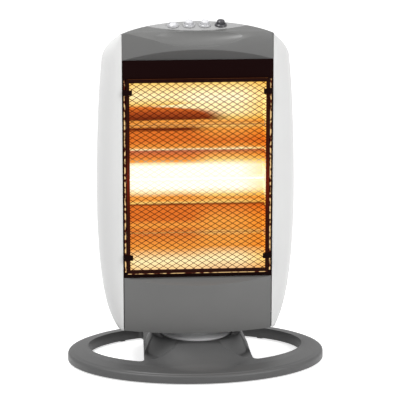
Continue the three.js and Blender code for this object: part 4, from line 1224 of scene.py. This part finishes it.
half_pitch = DIAMOND_WIDTH / 2
vertices = round((GUARD_HIGH.x - GUARD_LOW.x - 2 * BAR_WIDTH) / half_pitch) + 2
half_pitch = (GUARD_HIGH.x - GUARD_LOW.x - BAR_WIDTH) / (vertices - 1)
wires = round((GUARD_HIGH.z - GUARD_LOW.z) / ROW_PITCH)
half_rise = (GUARD_HIGH.z - GUARD_LOW.z - BAR_WIDTH) / (2 * wires)
guard_mesh = built_piece("guard_wires", woven_tree, {
    "Half pitch": half_pitch,
    "Half rise": half_rise,
    "Wire radius": WIRE_RADIUS,
    "Vertices": vertices,
    "Wires": wires,
    "Material": WIRE_PAINTED_GLOW,
})
corner = Vector((GUARD_LOW.x + BAR_WIDTH / 2, (GUARD_LOW.y + GUARD_HIGH.y) / 2,
                 GUARD_LOW.z + BAR_WIDTH / 2 + half_rise))
guard_mesh.data.transform(Matrix.Translation(corner))
finish_piece(guard_mesh, "heater", "guard")
print("guard:", vertices, "turns on", wires, "wires,", len(guard_mesh.data.polygons), "faces")

# %% [markdown]
# ## The frame of the guard
# Four flat bars with rounded edges frame the mesh and hold the ends of the wires.

# %% Guard frame
BAR_EDGE = 0.0004


def bar(name, low, high):
    work = bmesh.new()
    bmesh.ops.create_cube(work, size=1.0)
    for vert in work.verts:
        vert.co = Vector((high[axis] if vert.co[axis] > 0 else low[axis] for axis in range(3)))
    bmesh.ops.bevel(work, geom=work.edges[:], offset=BAR_EDGE, segments=3, profile=0.5, affect="EDGES")
    mesh = mesh_from(work, name)
    shade(mesh, 40)
    return link(name, mesh, SHEET_PAINTED_GLOW)


left, front, bottom = GUARD_LOW
right, back, top = GUARD_HIGH
BARS = {
    "guard_bar_left": ((left, front, bottom), (left + BAR_WIDTH, back, top)),
    "guard_bar_right": ((right - BAR_WIDTH, front, bottom), (right, back, top)),
    "guard_bar_bottom": ((left + BAR_WIDTH, front, bottom), (right - BAR_WIDTH, back, bottom + BAR_WIDTH)),
    "guard_bar_top": ((left + BAR_WIDTH, front, top - BAR_WIDTH), (right - BAR_WIDTH, back, top)),
}
for name, (low, high) in BARS.items():
    finish_piece(bar(name, low, high), "heater", "guard")
print("guard bars:", len(BARS))

# %% [markdown]
# ## Screws in the back
# The rear panel is held by six pan head screws. Geometry Nodes cuts a cross into one head and sets
# it out in two columns.

# %% Rear screws
SCREWS = {
    "Radius": 0.0034,
    "Height": 0.0016,
    "Column": 0.1,
    "Step": 0.196,
    "Rows": 3,
    "Material": FINISHES["motor_steel"],
}
SCREW_LOW, SCREW_SIDES, HEAD_TAPER, CROSS_WIDTH, CROSS_LIFT = 0.08, 32, 0.8, 0.24, 0.95


def screw_tree(values):
    tree, given, made = node_tree("screw_set", values)
    radius, height = given["Radius"], given["Height"]
    top_radius = maths(tree, "MULTIPLY", radius, HEAD_TAPER)
    head = add_node(tree, "GeometryNodeMeshCone", {
        "Vertices": SCREW_SIDES, "Radius Top": top_radius, "Radius Bottom": radius, "Depth": height})
    cut = add_node(tree, "GeometryNodeMeshBoolean", {"Mesh 1": head.outputs["Mesh"]}, operation="DIFFERENCE")
    short = maths(tree, "MULTIPLY", radius, CROSS_WIDTH)
    lift = vector(tree, z=maths(tree, "MULTIPLY", height, CROSS_LIFT))
    for size in (vector(tree, radius, short, height), vector(tree, short, radius, height)):
        arm = add_node(tree, "GeometryNodeMeshCube", {"Size": size}).outputs["Mesh"]
        lifted = add_node(tree, "GeometryNodeTransform", {"Geometry": arm, "Translation": lift})
        tree.links.new(lifted.outputs[0], cut.inputs["Mesh 2"])
    to_rear = {"Geometry": cut.outputs["Mesh"], "Rotation": (-math.pi / 2, 0, 0)}
    screw = add_node(tree, "GeometryNodeTransform", to_rear).outputs[0]
    column = instances(tree, mesh_line(tree, given["Rows"], 0.0, given["Step"]), screw)
    width = maths(tree, "MULTIPLY", given["Column"], 2.0)
    finish_tree(tree, instances(tree, mesh_line(tree, 2, width), column), given["Material"], made)
    return tree


screws = built_piece("rear_screws", screw_tree, SCREWS)
rear_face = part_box("rear_panel")[1].y
screws.data.transform(Matrix.Translation((-SCREWS["Column"], rear_face, SCREW_LOW)))
finish_piece(screws, "heater", "rear_panel")
print("screws:", 2 * SCREWS["Rows"], "heads,", len(screws.data.polygons), "faces")

# %% [markdown]
# ## Floor and light
# The heater stands on a pale sweep. A wide soft key light stands at the front right, a high light
# from the upper left models the facets and the hollow, and a faint fill at the left lifts the
# shadows. The pale world lights everything evenly. The camera and the mirrors see the floor and
# the world as near white.

# %% Floor, world and lights
FLOOR_SIZE, FLOOR_GLOW, FLOOR_CLOUDS = 40, 0.68, 0.6
FLOOR_WHITES, BOUNCE_TONE = (srgb(236, 236, 236), srgb(240, 240, 240)), srgb(192, 192, 193)
WORLD_LIGHT = 0.5
LIGHTS = {
    "key": ((1.9, -2.0, 1.7), (0, 0, 0.25), (1.2, 1.6), 46),
    "fill": ((-2.4, -1.2, 1.1), (0, 0, 0.25), (0.9, 0.9), 3),
    "top": ((-0.9, -0.6, 2.3), (0, 0, 0.4), (0.8, 0.8), 34),
}


def seen_ray(tree):
    """One for a ray that the camera sees, straight, mirrored or through glass."""
    path = add_node(tree, "ShaderNodeLightPath", {}).outputs
    either = maths(tree, "MAXIMUM", path["Is Camera Ray"], path["Is Glossy Ray"])
    return maths(tree, "MAXIMUM", either, path["Is Transmission Ray"])


def floor_material():
    """White to the camera and to mirrors, a little darker to the light that bounces off it."""
    material, tree, shader, place = new_material("studio_floor")
    seen = seen_ray(tree)
    white = mixed(tree, noise(tree, place, FLOOR_CLOUDS), *FLOOR_WHITES)
    fill(tree, shader, {
        "Base Color": mixed(tree, seen, BOUNCE_TONE, white),
        "Roughness": 0.8,
        "Specular IOR Level": 0.1,
        "Emission Color": (1, 1, 1, 1),
        "Emission Strength": maths(tree, "MULTIPLY", seen, FLOOR_GLOW),
    })
    return material


def make_floor():
    work = bmesh.new()
    bmesh.ops.create_grid(work, x_segments=1, y_segments=1, size=FLOOR_SIZE)
    link("floor", mesh_from(work, "floor"), floor_material())


def area_light(name, place, aim, size, power):
    data = bpy.data.lights.new(name, "AREA")
    data.shape = "RECTANGLE"
    data.size, data.size_y = size
    data.energy = power
    lamp = link(name, data)
    lamp.location = place
    lamp.rotation_euler = (Vector(aim) - Vector(place)).to_track_quat("-Z", "Y").to_euler()


def make_world():
    world = bpy.data.worlds.new("studio")
    bpy.context.scene.world = world
    world.use_nodes = True
    tree = world.node_tree
    strength = spread(tree, seen_ray(tree), WORLD_LIGHT, 1.0, 0.0, 1.0)
    fill(tree, tree.nodes["Background"], {"Color": (1, 1, 1, 1), "Strength": strength})


bpy.context.scene.view_settings.view_transform = "Standard"
make_floor()
make_world()
for name, (place, aim, size, power) in LIGHTS.items():
    area_light(name, place, aim, size, power)
print("lights:", ", ".join(LIGHTS))
